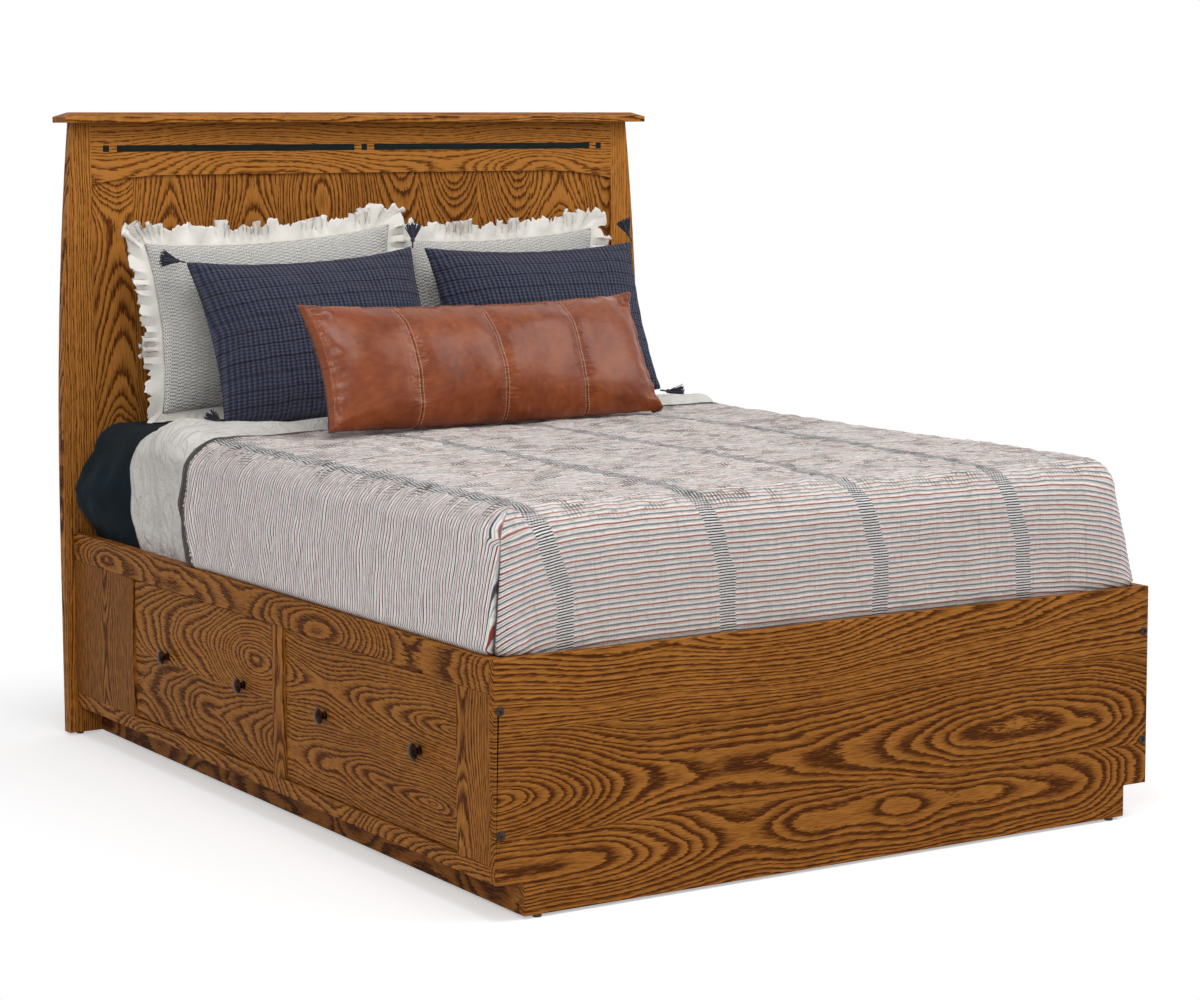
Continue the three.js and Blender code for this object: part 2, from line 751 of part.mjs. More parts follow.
// Each station keeps its distance from the head edge, so that the edge can stand thicker than the rest.
function alongStations(x, side) {
  return coverAlongShares.map((share) => {
    const start = headEdge(x);
    return { x, y: start + share * (coreFoot - start), share, run: share * (start - coreFoot), normal: [side, 0] };
  });
}

const coverPath = [
  ...alongStations(-coreHalfWidth, -1).slice(0, -1),
  ...cornerPath(-coreHalfWidth, coreFoot, Math.PI),
  ...coverXs.slice(1, -1).map((x) => ({ x, y: coreFoot, normal: [0, -1] })),
  ...cornerPath(coreHalfWidth, coreFoot, 1.5 * Math.PI),
  ...alongStations(coreHalfWidth, 1).slice(0, -1).reverse(),
].map((station) => ({ share: 1, run: coverletFoldRun, ...station }));

function headFold(run) {
  return coverletFold * Math.sqrt(Math.max(0, 1 - run / coverletFoldRun));
}

function coverletRadius(run) {
  return mattressEdgeRadius + coverletInner + coverletThickness + headFold(run);
}

// The head edge bows towards the head half way down the sides and falls back towards the hem.
function coverletProfile(station) {
  const [nx, ny] = station.normal;
  const corner = coverletCornerFlare * (2 * nx * ny) ** 2;
  const flare = coverletSideFlare * nx * nx + coverletFootFlare * ny * ny + corner;
  const pleat = coverletPleat * (2 * Math.abs(nx * ny)) ** 4;
  const radius = coverletRadius(station.run);
  const slack = mattressEdgeRadius + coverletInner + coverletThickness;
  const bow = coverletHeadBow * (1 - station.share) * Math.abs(nx);
  const points = coverLevels.map((z, level) => {
    const free = level > 1;
    const out = free ? radius + coverFlareShares[level] * flare - pleat : slack;
    return { out, z, along: bow * coverBowShares[level] };
  });
  const { out: shoulder, along: shoulderBow } = points[points.length - 1];
  for (let step = 1; step <= cornerSteps; step += 1) {
    const share = step / cornerSteps;
    const angle = share * (Math.PI / 2);
    points.push({
      out: step === cornerSteps ? 0 : shoulder * Math.cos(angle),
      z: coreTop + radius * Math.sin(angle),
      along: step === cornerSteps ? 0 : shoulderBow * (1 - share),
    });
  }
  return points;
}

function coverletLining(station) {
  const radius = mattressEdgeRadius + coverletInner;
  return coverletProfile(station).map(({ z, along }, index) => {
    const step = index - coverLevels.length + 1;
    if (step <= 0) {
      return { out: radius, z, along };
    }
    const angle = (step / cornerSteps) * (Math.PI / 2);
    return { out: step === cornerSteps ? 0 : radius * Math.cos(angle), z: coreTop + radius * Math.sin(angle), along };
  });
}

function coverTop(height) {
  const rows = coverAlongShares.map((share) => coverXs.map((x) => {
    const start = headEdge(x);
    const run = share === 1 ? coverletFoldRun : share * (start - coreFoot);
    const y = start + share * (coreFoot - start);
    return [x, y, height(x / coreHalfWidth, share, run)];
  }));
  const faces = [];
  for (let row = 0; row + 1 < rows.length; row += 1) {
    for (let at = 0; at + 1 < coverXs.length; at += 1) {
      faces.push(quad(rows[row + 1][at], rows[row + 1][at + 1], rows[row][at + 1], rows[row][at]));
    }
  }
  return { faces, headRow: rows[0] };
}

function coverHeight(across, share, run) {
  const crown = coverletCrown * (1 - across ** 4) * (1 - (2 * share - 1) ** 4);
  return coreTop + coverletRadius(run) + crown;
}

const coverFace = coverTop(coverHeight);
const coverLining = coverTop(() => coreTop + mattressEdgeRadius + coverletInner);

// The head edge joins face and lining along the arch: up the left side, across the top, down the right side.
function headArch(profileOf, top) {
  const left = coverPath[0];
  const right = coverPath[coverPath.length - 1];
  const up = profileOf(left).map((point) => pathPoint(left, point));
  const down = profileOf(right).map((point) => pathPoint(right, point)).reverse();
  return [...up, ...top.headRow.slice(1, -1), ...down];
}

const outerArch = headArch(coverletProfile, coverFace);
const innerArch = headArch(coverletLining, coverLining);
const headFaces = outerArch.slice(0, -1).map((corner, index) => quad(
  corner,
  outerArch[index + 1],
  innerArch[index + 1],
  innerArch[index],
));
const coverRim = (station) => [coverletLining(station)[0], coverletProfile(station)[0]];
add('coverlet', surface([
  ...strip(coverPath, coverletProfile, false),
  ...coverFace.faces,
  ...flipped(strip(coverPath, coverletLining, false)),
  ...flipped(coverLining.faces),
  ...strip(coverPath, coverRim, false),
  ...headFaces,
]), stripedCotton);

// Cushions: two crowned faces on a drawn-in outline, standing in X and Z with the front towards -Y. The bottom
// edge sags under the weight instead, and a frill runs round the seam of the white ones, turned under below.
function spread(count) {
  return Array.from({ length: count + 1 }, (_, step) => {
    const share = (2 * step) / count - 1;
    return (Math.sin((share * Math.PI) / 2) + share) / 2;
  });
}

function seamPoint(size, u, v) {
  const lift = v > 0 ? -pillowDrawIn : size.sag;
  return [u * (size.width / 2 - pillowDrawIn * (1 - v * v)), v * (size.height / 2 + lift * (1 - u * u))];
}

function cushionGeometry(size, columns, rows, dimple) {
  const point = (u, v, crown, direction) => {
    const [x, z] = seamPoint(size, u, v);
    const swell = Math.sqrt((1 - u * u) * (1 - v * v)) * dimple(u);
    return [x, direction * (pillowSeam / 2 + crown * swell), z];
  };
  const face = (crown, direction) => {
    const made = [];
    for (let i = 0; i + 1 < columns.length; i += 1) {
      for (let j = 0; j + 1 < rows.length; j += 1) {
        const corners = [[i, j], [i + 1, j], [i + 1, j + 1], [i, j + 1]];
        made.push(quad(...corners.map(([a, b]) => point(columns[a], rows[b], crown, direction))));
      }
    }
    return direction < 0 ? made : flipped(made);
  };
  const outline = [
    ...columns.slice(0, -1).map((u) => [u, -1]),
    ...rows.slice(0, -1).map((v) => [1, v]),
    ...columns.slice(1).reverse().map((u) => [u, 1]),
    ...rows.slice(1).reverse().map((v) => [-1, v]),
  ];
  const ring = (direction) => outline.map(([u, v]) => point(u, v, 0, direction));
  const frillRing = (direction) => outline.map(([u, v], index) => {
    const [x, y, z] = point(u, v, 0, direction);
    const ripple = index % 2 === 0 ? size.wave : -size.wave;
    const outward = Math.trunc(u) * size.frill;
    if (v === -1) {
      return [x + outward, y + frillTuck.back, z - frillTuck.drop];
    }
    return [x + outward, y + ripple, z + Math.trunc(v) * size.frill];
  });
  const between = (lower, upper) => lower.map((corner, index) => {
    const next = (index + 1) % lower.length;
    return quad(corner, lower[next], upper[next], upper[index]);
  });
  const seam = size.frill === 0 ? between(ring(1), ring(-1)) : [
    ...between(frillRing(-1), ring(-1)),
    ...between(ring(1), frillRing(1)),
    ...between(frillRing(1), frillRing(-1)),
  ];
  return surface([...face(size.front, -1), ...face(size.back, 1), ...seam]);
}

const degree = Math.PI / 180;

function turned(geometry, { yaw, lean, roll }) {
  return geometry.rotateY(-roll * degree).rotateX(-lean * degree).rotateZ(yaw * degree);
}

// A cushion is turned, then set down: its lowest point clears the seat, and its bottom edge stands at the place.
function settle(geometry, size, place, seat) {
  turned(geometry, place);
  geometry.computeBoundingBox();
  const rise = seat + bedSeatGap - geometry.boundingBox.min.z;
  const foot = turned(new THREE.BufferGeometry().setFromPoints([new THREE.Vector3(0, 0, -size.height / 2)]), place);
  const [x, y] = foot.attributes.position.array;
  const shift = [place.x - x, headY - place.setBack - y, rise];
  geometry.translate(...shift);
  return shift;
}

// Seams at the quarter points pull the leather in.
const leatherSeams = [-1 / 2, 0, 1 / 2];

function leatherDimple(u) {
  const dips = leatherSeams.map((seam) => Math.exp(-(((u - seam) / leatherSeamSpread) ** 2)));
  return 1 - leatherSeamDip * dips.reduce((sum, dip) => sum + dip, 0);
}

const leatherColumns = [
  ...[0.25, 0.64, 0.78, 0.88, 0.96, 1].flatMap((u) => [-u, u]),
  ...leatherSeams.flatMap((seam) => [-2, -1, 0, 1, 2].map((step) => seam + step * leatherSeamSpread)),
].sort((a, b) => a - b);

// Tassels: a cord, a knot and a flared skirt, sewn to a corner of the seam and hung towards the given direction.
// The inner corners of the right navy pillow are out of sight and have none.
function tasselGeometry() {
  const knotTop = tasselCord.length;
  const skirtTop = knotTop + 2 * tasselKnotRadius;
  const profile = [
    [0, 0],
    [tasselCord.radius, 0],
    [tasselCord.radius, knotTop],
    [tasselKnotRadius, knotTop + tasselKnotRadius],
    [tasselKnotRadius / 2, skirtTop],
    [tasselSkirt.radius, skirtTop + tasselSkirt.length],
    [0, skirtTop + tasselSkirt.length],
  ];
  return new THREE.LatheGeometry(profile.map(([r, y]) => new THREE.Vector2(r, y)), roundSides / 2);
}

function tassel(size, place, shift, [u, v, ...direction]) {
  const [x, z] = seamPoint(size, u, v);
  const way = new THREE.Vector3(...direction).normalize();
  const turn = new THREE.Quaternion().setFromUnitVectors(new THREE.Vector3(0, 1, 0), way);
  const inward = tasselCord.radius * 2;
  const geometry = tasselGeometry().applyQuaternion(turn).translate(x - u * inward, 0, z - v * inward);
  return turned(geometry, place).translate(...shift);
}

const tasselWays = {
  left_navy_pillow: [
    [-1, 1, -1, -0.05, 0.22],
    [1, 1, 0.25, -0.1, 1],
    [-1, -1, -0.8, -0.5, 0.2],
    [1, -1, 0.5, -0.8, 0.3],
  ],
  right_navy_pillow: [[1, 1, -0.3, -0.1, 1], [1, -1, 1, -0.15, 0.1]],
};

const fittedSeat = mattressTop + fittedOuter;
const flatSeat = mattressTop + flatOuter;
const leatherRun = pillowPlaces.leather.setBack - coverletHeadSpace;
const coverSeat = coverHeight(0, leatherRun / (coverletHeadY - coreFoot), coverletFoldRun);
const evenly = () => 1;
const cushions = [
  ['left_white_pillow', whitePillow, pillowPlaces.leftWhite, fittedSeat, creamWeave],
  ['right_white_pillow', whitePillow, pillowPlaces.rightWhite, fittedSeat, creamWeave],
  ['left_navy_pillow', navyPillow, pillowPlaces.leftNavy, flatSeat, navyWaffle],
  ['right_navy_pillow', navyPillow, pillowPlaces.rightNavy, flatSeat, navyWaffle],
];
for (const [name, size, place, seat, material] of cushions) {
  const ways = tasselWays[name] ?? [];
  const geometry = cushionGeometry(size, spread(16), spread(12), evenly);
  const shift = settle(geometry, size, place, seat);
  const tassels = ways.map((way) => tassel(size, place, shift, way));
  add(name, tassels.length === 0 ? geometry : join(geometry, ...tassels), material);
}
const leatherGeometry = cushionGeometry(leatherPillow, leatherColumns, spread(10), leatherDimple);
settle(leatherGeometry, leatherPillow, pillowPlaces.leather, coverSeat);
add('leather_lumbar_pillow', leatherGeometry, cognacLeather);

export default bed;
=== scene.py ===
from functools import partial
from math import atan2, copysign, cos, exp, hypot, pi, radians, sin, sqrt

import bpy
import numpy as np
from mathutils import Matrix, Vector, noise


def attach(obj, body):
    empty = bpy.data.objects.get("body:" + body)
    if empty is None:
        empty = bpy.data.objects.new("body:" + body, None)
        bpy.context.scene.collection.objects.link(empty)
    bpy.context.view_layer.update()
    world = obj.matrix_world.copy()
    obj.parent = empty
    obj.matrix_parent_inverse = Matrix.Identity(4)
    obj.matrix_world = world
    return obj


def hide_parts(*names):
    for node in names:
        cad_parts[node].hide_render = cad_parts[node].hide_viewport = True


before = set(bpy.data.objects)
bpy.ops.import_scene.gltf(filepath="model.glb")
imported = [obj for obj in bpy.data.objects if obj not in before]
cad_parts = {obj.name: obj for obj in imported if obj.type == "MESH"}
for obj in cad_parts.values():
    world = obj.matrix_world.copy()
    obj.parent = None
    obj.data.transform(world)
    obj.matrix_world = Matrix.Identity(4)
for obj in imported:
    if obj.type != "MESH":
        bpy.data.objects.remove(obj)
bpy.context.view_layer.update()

# Camera: a long lens left of the bed's foot, a little above the headboard, looking slightly down.
view_yaw, view_pitch, view_roll = 0.56884, -0.1101, -0.00231
stand = (-3.4657, -5.75305, 1.4887)
ahead = Vector((
    sin(view_yaw) * cos(view_pitch),
    cos(view_yaw) * cos(view_pitch),
    sin(view_pitch),
))
level = Vector((cos(view_yaw), -sin(view_yaw), 0))
upright = level.cross(ahead)
across = level * cos(view_roll) + upright * sin(view_roll)
upright = upright * cos(view_roll) - level * sin(view_roll)
bpy.ops.object.select_all(action="DESELECT")
bpy.ops.object.camera_add()
camera = bpy.context.object
camera.matrix_world = Matrix.Translation(stand) @ Matrix((across, upright, -ahead)).transposed().to_4x4()
camera.data.lens = 88.626
camera.data.sensor_width = 36
camera.data.shift_x = camera.data.shift_y = -0.041668
camera.data.clip_end = 100
bpy.context.scene.camera = camera
bpy.context.scene.view_settings.view_transform = "Standard"


# Studio: a plain white floor that keeps the bed's shadow, and a white surround. Camera, mirror and
# glass rays see the surround at strength 1; the other rays get a softer, slightly cool daylight.
def linear(code):
    """An sRGB hex colour as the linear one that Blender's sockets take."""
    parts = [int(code[at : at + 2], 16) / 255 for at in (0, 2, 4)]
    return (*[c / 12.92 if c <= 0.04045 else ((c + 0.055) / 1.055) ** 2.4 for c in parts], 1.0)


def feed(node, *first, **named):
    """Sets a node's sockets, in order and then by name, each to a value or to a node or one of its
    outputs."""
    for key, value in [*enumerate(first), *((key.replace("_", " "), value) for key, value in named.items())]:
        if isinstance(value, bpy.types.Node):
            value = value.outputs[0]
        if isinstance(value, bpy.types.NodeSocket):
            node.id_data.links.new(value, node.inputs[key])
        else:
            node.inputs[key].default_value = value
    return node


def add_node(tree, kind, *first, stops=(), **named):
    """Adds a node. A second word in kind is its operation, stops fill its colour ramp, names in small
    letters are its settings and all others its sockets."""
    kind, *operation = kind.split()
    made = tree.nodes.new("ShaderNode" + kind)
    for word in operation:
        made.operation = word
    for at, (place, colour) in enumerate(stops):
        while len(made.color_ramp.elements) < len(stops):
            made.color_ramp.elements.new(0.5)
        element = made.color_ramp.elements[at]
        element.position = place
        element.color = linear(colour) if isinstance(colour, str) else (colour, colour, colour, 1)
    for key in [key for key in named if key.islower()]:
        setattr(made, key, named.pop(key))
    return feed(made, *first, **named)


def finish_of(name, roughness, ior=1.45, specular=0.5, **more):
    """A material with one Principled shader, the function that adds nodes to it, and that shader."""
    made = bpy.data.materials.new(name)
    made.use_nodes = True
    shader = made.node_tree.nodes["Principled BSDF"]
    feed(shader, Roughness=roughness, IOR=ior, Specular_IOR_Level=specular)
    feed(shader, Coat_Roughness=0.18, Sheen_Roughness=0.5, **more)
    return made, partial(add_node, made.node_tree), shader


def seen_directly(node):
    """1 for camera, mirror and glass rays, and 0 for the rays that only carry light."""
    rays = node("LightPath").outputs
    seen = node("Math MAXIMUM", rays["Is Camera Ray"], rays["Is Glossy Ray"])
    return node("Math MAXIMUM", seen, rays["Is Transmission Ray"])


floor_reach = 60
bpy.ops.mesh.primitive_plane_add(size=floor_reach)
floor = bpy.context.object
floor.name = "studio_floor"
bed_half, fade_start, fade_end, floor_glow = (0.8, 1.05, 0.0), 0.1, 0.95, 0.42
# a matt white that shows nothing but the shadow
floor_paint, node, shader = finish_of("white_studio_floor", 0.9, specular=0.0)
seen = seen_directly(node)
glow = node("Math MULTIPLY", seen, floor_glow)
feed(shader, Base_Color=linear("E6E6E6"), Emission_Color=(1, 1, 1, 1), Emission_Strength=glow)
# the floor turns to the surround's plain white away from the bed's footprint
floor_place = node("VectorMath ABSOLUTE", node("TexCoord").outputs["Object"])
beyond = node("VectorMath MAXIMUM", node("VectorMath SUBTRACT", floor_place, bed_half), (0.0, 0.0, 0.0))
beyond = node("VectorMath LENGTH", beyond)
far = node("MapRange", beyond.outputs["Value"], fade_start, fade_end, interpolation_type="SMOOTHSTEP")
far = node("Math MULTIPLY", far, seen)
either = node("MixShader", far, shader, node("Emission", Color=(1, 1, 1, 1), Strength=1.0))
feed(floor_paint.node_tree.nodes["Material Output"], Surface=either)
floor.data.materials.append(floor_paint)

world = bpy.data.worlds.new("studio_surround")
bpy.context.scene.world = world
world.use_nodes = True
node = partial(add_node, world.node_tree)
soft_light = node("Background", Color=(0.97, 0.985, 1.0, 1.0), Strength=0.52)
white_wall = node("Background", Color=(1, 1, 1, 1), Strength=1.0)
either = node("MixShader", seen_directly(node), soft_light, white_wall)
feed(world.node_tree.nodes["World Output"], Surface=either)

# place, aim, size and watts of each soft box: a high one from the right, one from the front and a low fill
soft_boxes = [
    ((3.8, -2.6, 4.4), (0.0, 0.0, 0.6), 4.2, 132),
    ((-3.6, -4.6, 3.0), (0.0, 0.4, 0.6), 1.4, 64),
    ((-0.9, -1.3, 3.9), (0.0, 1.0, 1.1), 1.6, 42),
]
for place, aim, size, watts in soft_boxes:
    bpy.ops.object.light_add(type="AREA", location=place)
    box = bpy.context.object
    box.rotation_mode = "QUATERNION"
    box.rotation_quaternion = (Vector(aim) - Vector(place)).to_track_quat("-Z", "Y")
    box.data.size = size
    box.data.energy = watts

# Headboard: solid red oak under a brown stain and a satin lacquer. Two tapered posts, a top rail with an
# arched edge and a lower board hold a panel of glued-up boards, and a cap with a bevelled edge lies on top.
foot_y = -1.05375  # the footboard's front face; lengths along the bed are given from it


def streaks(node, way, scale, **more):
    """Noise drawn out by a scale of its own for each axis."""
    return node("TexNoise", node("Mapping", way, Scale=scale), Scale=1.0, **more)


def oak(
    name, axes, hearts, face=0.0, depth=0.1, swing=0.06, seams=(), ring=0.0068, tone=0.0, seed=0.0, stray=0.0,
    lean=0.0,
):
    """Stained red oak. Axes are the grain's way, across the board's face and through it. Each board is cut
    from a log whose heart lies at hearts across and depth behind the face. The heart wanders by swing and
    leans by lean along the board, which draws the cathedral arches. Seams are the places across the face
    where glued boards meet."""
    # a satin lacquer over an open grain: a soft sheen, duller in the dark pores
    made, node, shader = finish_of(name, 0.42, 1.5, specular=0.02)
    parts = node("SeparateXYZ", node("TexCoord").outputs["Object"])
    along, over, through = (parts.outputs["XYZ".index(axis)] for axis in axes)
    # one number for each glued board, the place of its heart, and two random shares
    which, centre = seed, hearts[0]
    for seam, before, after in zip(seams, hearts, hearts[1:]):
        past = node("Math GREATER_THAN", over, seam)
        which = node("Math ADD", which, past)
        centre = node("Math MULTIPLY_ADD", past, after - before, centre)
    luck = node("TexWhiteNoise", W=which, noise_dimensions="1D")
    share_a, share_b, _ = node("SeparateXYZ", luck.outputs["Color"]).outputs
    centre = node("Math MULTIPLY_ADD", share_a, stray, centre)
    side = node("Math SUBTRACT", over, centre)
    # the log's heart wanders along the board
    run = node("Math MULTIPLY_ADD", which, 7.3, along)
    slow = node("TexNoise", noise_dimensions="1D", W=run, Scale=1.2, Detail=1.5)
    deep = node("Math MULTIPLY_ADD", slow, 4 * swing, depth - 2 * swing - face)
    deep = node("Math ADD", node("Math MULTIPLY_ADD", along, lean, deep), through)
    grain_way = node("CombineXYZ", along, over, run)
    wavy = node("Mapping", grain_way, Scale=(2.6, 9.0, 1.0))
    bend = node("TexNoise", wavy, Scale=1.0, Detail=2.0)
    bent = node("VectorMath MULTIPLY_ADD", bend.outputs["Color"], (0.0, 0.026, 0.026), (0.0, -0.013, -0.013))
    spot = node("VectorMath ADD", node("CombineXYZ", 0.0, side, deep), bent)
    radius = node("VectorMath LENGTH", spot).outputs["Value"]
    years = node("TexNoise", noise_dimensions="1D", W=radius, Scale=55.0, Detail=1.0)
    radius = node("Math MULTIPLY_ADD", years, 2 * ring, radius)
    jag = streaks(node, grain_way, (38.0, 300.0, 1.0), Detail=3.0, Roughness=0.65)
    radius = node("Math MULTIPLY_ADD", jag, 0.0058, radius)
    phase = node("Math FRACT", node("Math DIVIDE", radius, ring))
    # the porous spring wood takes the stain darkest, at the start of each ring
    band = node(
        "ValToRGB", phase,
        stops=[(0.0, 0.35), (0.07, 1.0), (0.22, 0.95), (0.38, 0.42), (0.6, 0.1), (0.94, 0.0), (1.0, 0.35)],
    )
    pores = streaks(node, grain_way, (34.0, 430.0, 1.0), Detail=2.0)
    pores = node("ValToRGB", pores, stops=[(0.36, 0.0), (0.66, 1.0)])
    dark = node("Math MULTIPLY", node("Math MULTIPLY_ADD", pores, 0.45, 0.6), band)
    spread = node("Math MULTIPLY_ADD", pores, 0.24, dark)
    broad = node("TexNoise", grain_way, Scale=3.0, Detail=2.0)
    shade = node("Math MULTIPLY_ADD", broad, 0.24, spread)
    tint = node("Math MULTIPLY_ADD", share_b, 0.16 if seams else 0.0, tone - 0.14)
    shade = node("Math ADD", shade, tint, use_clamp=True)
    stain = [(0.0, "B07334"), (0.28, "905A26"), (0.62, "673B18"), (1.0, "4A2711")]
    colour = node("ValToRGB", shade, stops=stain)
    gloss = node("MapRange", spread, To_Min=0.36, To_Max=0.52)
    bump = node("Bump", Strength=0.35, Distance=0.0004, Height=spread, invert=True)
    feed(shader, Base_Color=colour, Roughness=gloss, Normal=bump)
    return made


def dress(name, finish, ease=0.0012):
    """Gives a CAD node its finish, and breaks its sharp edges by ease as sanding does."""
    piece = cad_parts[name]
    piece.data.materials.clear()
    piece.data.materials.append(finish)
    weld = piece.modifiers.new("weld", "WELD")
    weld.merge_threshold = 0.00001
    if ease:
        bevel = piece.modifiers.new("eased_edges", "BEVEL")
        bevel.width = ease
        bevel.segments = 2
        bevel.limit_method = "ANGLE"
        bevel.angle_limit = radians(35)
        bevel.harden_normals = False
    return piece


head_y_face = 1.01625  # the headboard's front face
panel_seams = [-0.631, -0.442, -0.245, -0.045, 0.158, 0.333, 0.493, 0.657]
panel_ends = [-0.749, *panel_seams, 0.749]
panel_hearts = [(left + right) / 2 for left, right in zip(panel_ends, panel_ends[1:])]
# painted light: the right post is toned lighter for the light from the right, and both posts for the brighter
# headboard
post_oak = {
    side: oak(
        f"stained_oak_{side}_post", "ZXY", [at], head_y_face, depth=-0.05, swing=0.02, ring=0.0058, tone=tone,
        seed=seed, lean=0.05,
    )
    for side, at, seed, tone in (("left", -0.93, 3.0, -0.16), ("right", 0.93, 5.0, -0.33))
}
# painted light: the panel and the top rail are toned lighter for the brighter light on the headboard
panel_oak = oak(
    "stained_oak_panel_boards", "ZXY", panel_hearts, head_y_face, depth=-0.09, swing=0.07, seams=panel_seams,
    tone=-0.14, seed=11.0, stray=0.05,
)
rail_oak = oak(
    "stained_oak_head_rail", "XZY", [1.36], head_y_face, depth=-0.06, swing=0.03, ring=0.0056, tone=-0.26,
    seed=2.0,
)
cap_oak = oak("stained_oak_cap", "XYZ", [0.9], 1.5, depth=-0.06, swing=0.02, tone=-0.06, seed=4.0)
low_oak = oak("stained_oak_lower_board", "XZY", [0.22], head_y_face, depth=-0.1, seed=8.0)
dress("headboard_left_post", post_oak["left"], 0.002)
dress("headboard_right_post", post_oak["right"], 0.002)
dress("headboard_top_rail", rail_oak)
dress("headboard_lower_board", low_oak)
dress("headboard_panel", panel_oak, 0.0)
dress("headboard_cap", cap_oak, 0.0022)


# Inlay: two thin bars and three small squares of black-dyed wood. They are let into the face of the top
# rail, glued and sanded flush with it.
def spotted(node, shader, scale, detail, stops):
    """Colours a shader by soft noise, finer with scale along each axis, and gives the noise."""
    place = node("TexCoord").outputs["Object"]
    if isinstance(scale, float):
        spots = node("TexNoise", place, Scale=scale, Detail=detail)
    else:
        spots = streaks(node, place, scale, Detail=detail)
    feed(shader, Base_Color=node("ValToRGB", spots, stops=stops))
    return spots


# dyed right through: nearly black, with a faint grain
ebony, node, shader = finish_of("black_dyed_wood_inlay", 0.5, 1.5, specular=0.1)
spotted(node, shader, (18.0, 320.0, 320.0), 3.0, [(0.3, "0A100E"), (0.7, "161F1D")])
for name in ("left_square", "middle_square", "right_square", "left_bar", "right_bar"):
    dress(f"inlay_{name}", ebony, 0.0003)


# Pedestal frames: each side is two long oak rails with three uprights glued between them, and the grain
# changes way at each joint. The toe boards under them stand back and are darker.
def pick(*pieces):
    """Selects these pieces alone, with the first as the active one."""
    bpy.ops.object.select_all(action="DESELECT")
    for piece in pieces:
        piece.select_set(True)
    bpy.context.view_layer.objects.active = pieces[0]


def edit(piece, **steps):
    """Runs mesh operators in edit mode, from a start with all of the piece selected."""
    pick(piece)
    bpy.ops.object.mode_set(mode="EDIT")
    bpy.ops.mesh.select_all(action="SELECT")
    for operator, settings in steps.items():
        getattr(bpy.ops.mesh, operator)(**settings)
    bpy.ops.object.mode_set(mode="OBJECT")


def plank(name, low, high, ease, finish):
    """A sawn board between two corners, with its edges rounded by ease."""
    low, high = Vector(low), Vector(high)
    bpy.ops.mesh.primitive_cube_add(size=1, location=(low + high) / 2)
    piece = bpy.context.object
    piece.name = name
    piece.scale = high - low
    pick(piece)
    bpy.ops.object.transform_apply(location=True, rotation=False, scale=True)
    edit(piece, bevel={"offset": ease, "segments": 2, "affect": "EDGES"})
    piece.data.materials.append(finish)
    return piece


def gather(name, pieces):
    """Joins pieces into one object of that name."""
    pick(*pieces)
    bpy.ops.object.join()
    pieces[0].name = name
    return pieces[0]


def declare(piece, node=None, finish=None, body="bed"):
    """Gives a piece its finish and its body, and puts it in place of a CAD node if one is named."""
    if finish:
        piece.data.materials.append(finish)
    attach(piece, body)
    if node:
        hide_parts(node)


inner_x, outer_x = 0.7815, 0.8065
toe_z, bottom_z, top_z, rail_z = 0.073, 0.106, 0.434, 0.5015
side_start, side_end = 0.019, 2.07
openings = {"foot": (0.147, 0.903), "head": (0.956, 1.712)}
joint_line, plank_ease, side_face = 0.00025, 0.0011, 0.8
toe_oak = oak("darker_oak_toe_boards", "YZX", [0.1], 0.0, depth=0.0, swing=0.03, tone=0.12, seed=21.0)
for word, side in (("left", -1), ("right", 1)):
    rail_wood = oak(
        f"stained_oak_{word}_rails", "YZX", [0.06, 0.455], side * side_face, depth=-side * 0.08, swing=0.05,
        seams=(0.3,), ring=0.006, tone=-0.08, seed=31.0 + side,
    )
    stile_wood = oak(
        f"stained_oak_{word}_uprights", "ZYX", [-0.93, -0.14, 0.82], side * side_face, depth=-side * 0.07,
        swing=0.025, seams=(-0.5, 0.3), ring=0.0056, tone=-0.07, seed=41.0 + side,
    )
    xs = sorted((side * inner_x, side * outer_x))
    joints = (bottom_z + joint_line, top_z - joint_line, stile_wood)
    boards = [
        ("top_rail", side_start, side_end, top_z, rail_z, rail_wood),
        ("bottom_rail", side_start, side_end, toe_z, bottom_z, rail_wood),
        ("foot_upright", side_start, openings["foot"][0], *joints),
        ("middle_upright", openings["foot"][1], openings["head"][0], *joints),
        ("head_upright", openings["head"][1], side_end, *joints),
    ]
    made = [
        plank(f"{word}_{board}", (xs[0], foot_y + start, low), (xs[1], foot_y + end, high), plank_ease, wood)
        for board, start, end, low, high, wood in boards
    ]
    declare(gather(f"{word}_side_boards", made), f"{word}_side_frame")
    dress(f"{word}_toe_board", toe_oak)

# Footboard: three wide oak boards glued edge to edge, stained and lacquered like the rest, and notched at
# both lower corners for the toe space.
foot_oak = oak(
    "stained_oak_footboard", "XZY", [0.1, 0.235, 0.53], foot_y, depth=0.075, swing=0.05, seams=(0.16, 0.36),
    ring=0.0076, seed=58.0, lean=0.06,
)
dress("footboard", foot_oak, 0.0018)

# Connector bolts: flat heads of dark bronze with a six-sided socket. Two at each end of the footboard
# draw it against the side frames.
# darkened bronze: a brown metal with soft, cloudy patches
bronze, node, shader = finish_of("dark_bronze_bolts", 0.36, Metallic=1.0)
patches = spotted(node, shader, 220.0, 3.0, [(0.35, "2B2421"), (0.7, "54453B")])
feed(shader, Normal=node("Bump", Strength=0.2, Distance=0.0003, Height=patches))


def mesh_piece(name, points, faces, edges=(), smooth=True, **maps):
    """A piece made of points, faces and edges, with UV maps that hold one place for each point."""
    mesh = bpy.data.meshes.new(name)
    mesh.from_pydata(points, edges, faces)
    for title, places in maps.items():
        layer = mesh.uv_layers.new(name=title)
        for loop in mesh.loops:
            layer.data[loop.index].uv = places[loop.vertex_index]
    for polygon in mesh.polygons:
        polygon.use_smooth = smooth
    piece = bpy.data.objects.new(name, mesh)
    bpy.context.collection.objects.link(piece)
    return piece


def applied(piece, kind, **settings):
    """Adds a modifier to a piece and applies it."""
    pick(piece)
    made = piece.modifiers.new(kind, kind)
    for key, value in settings.items():
        setattr(made, key, value)
    bpy.ops.object.modifier_apply(modifier=made.name)


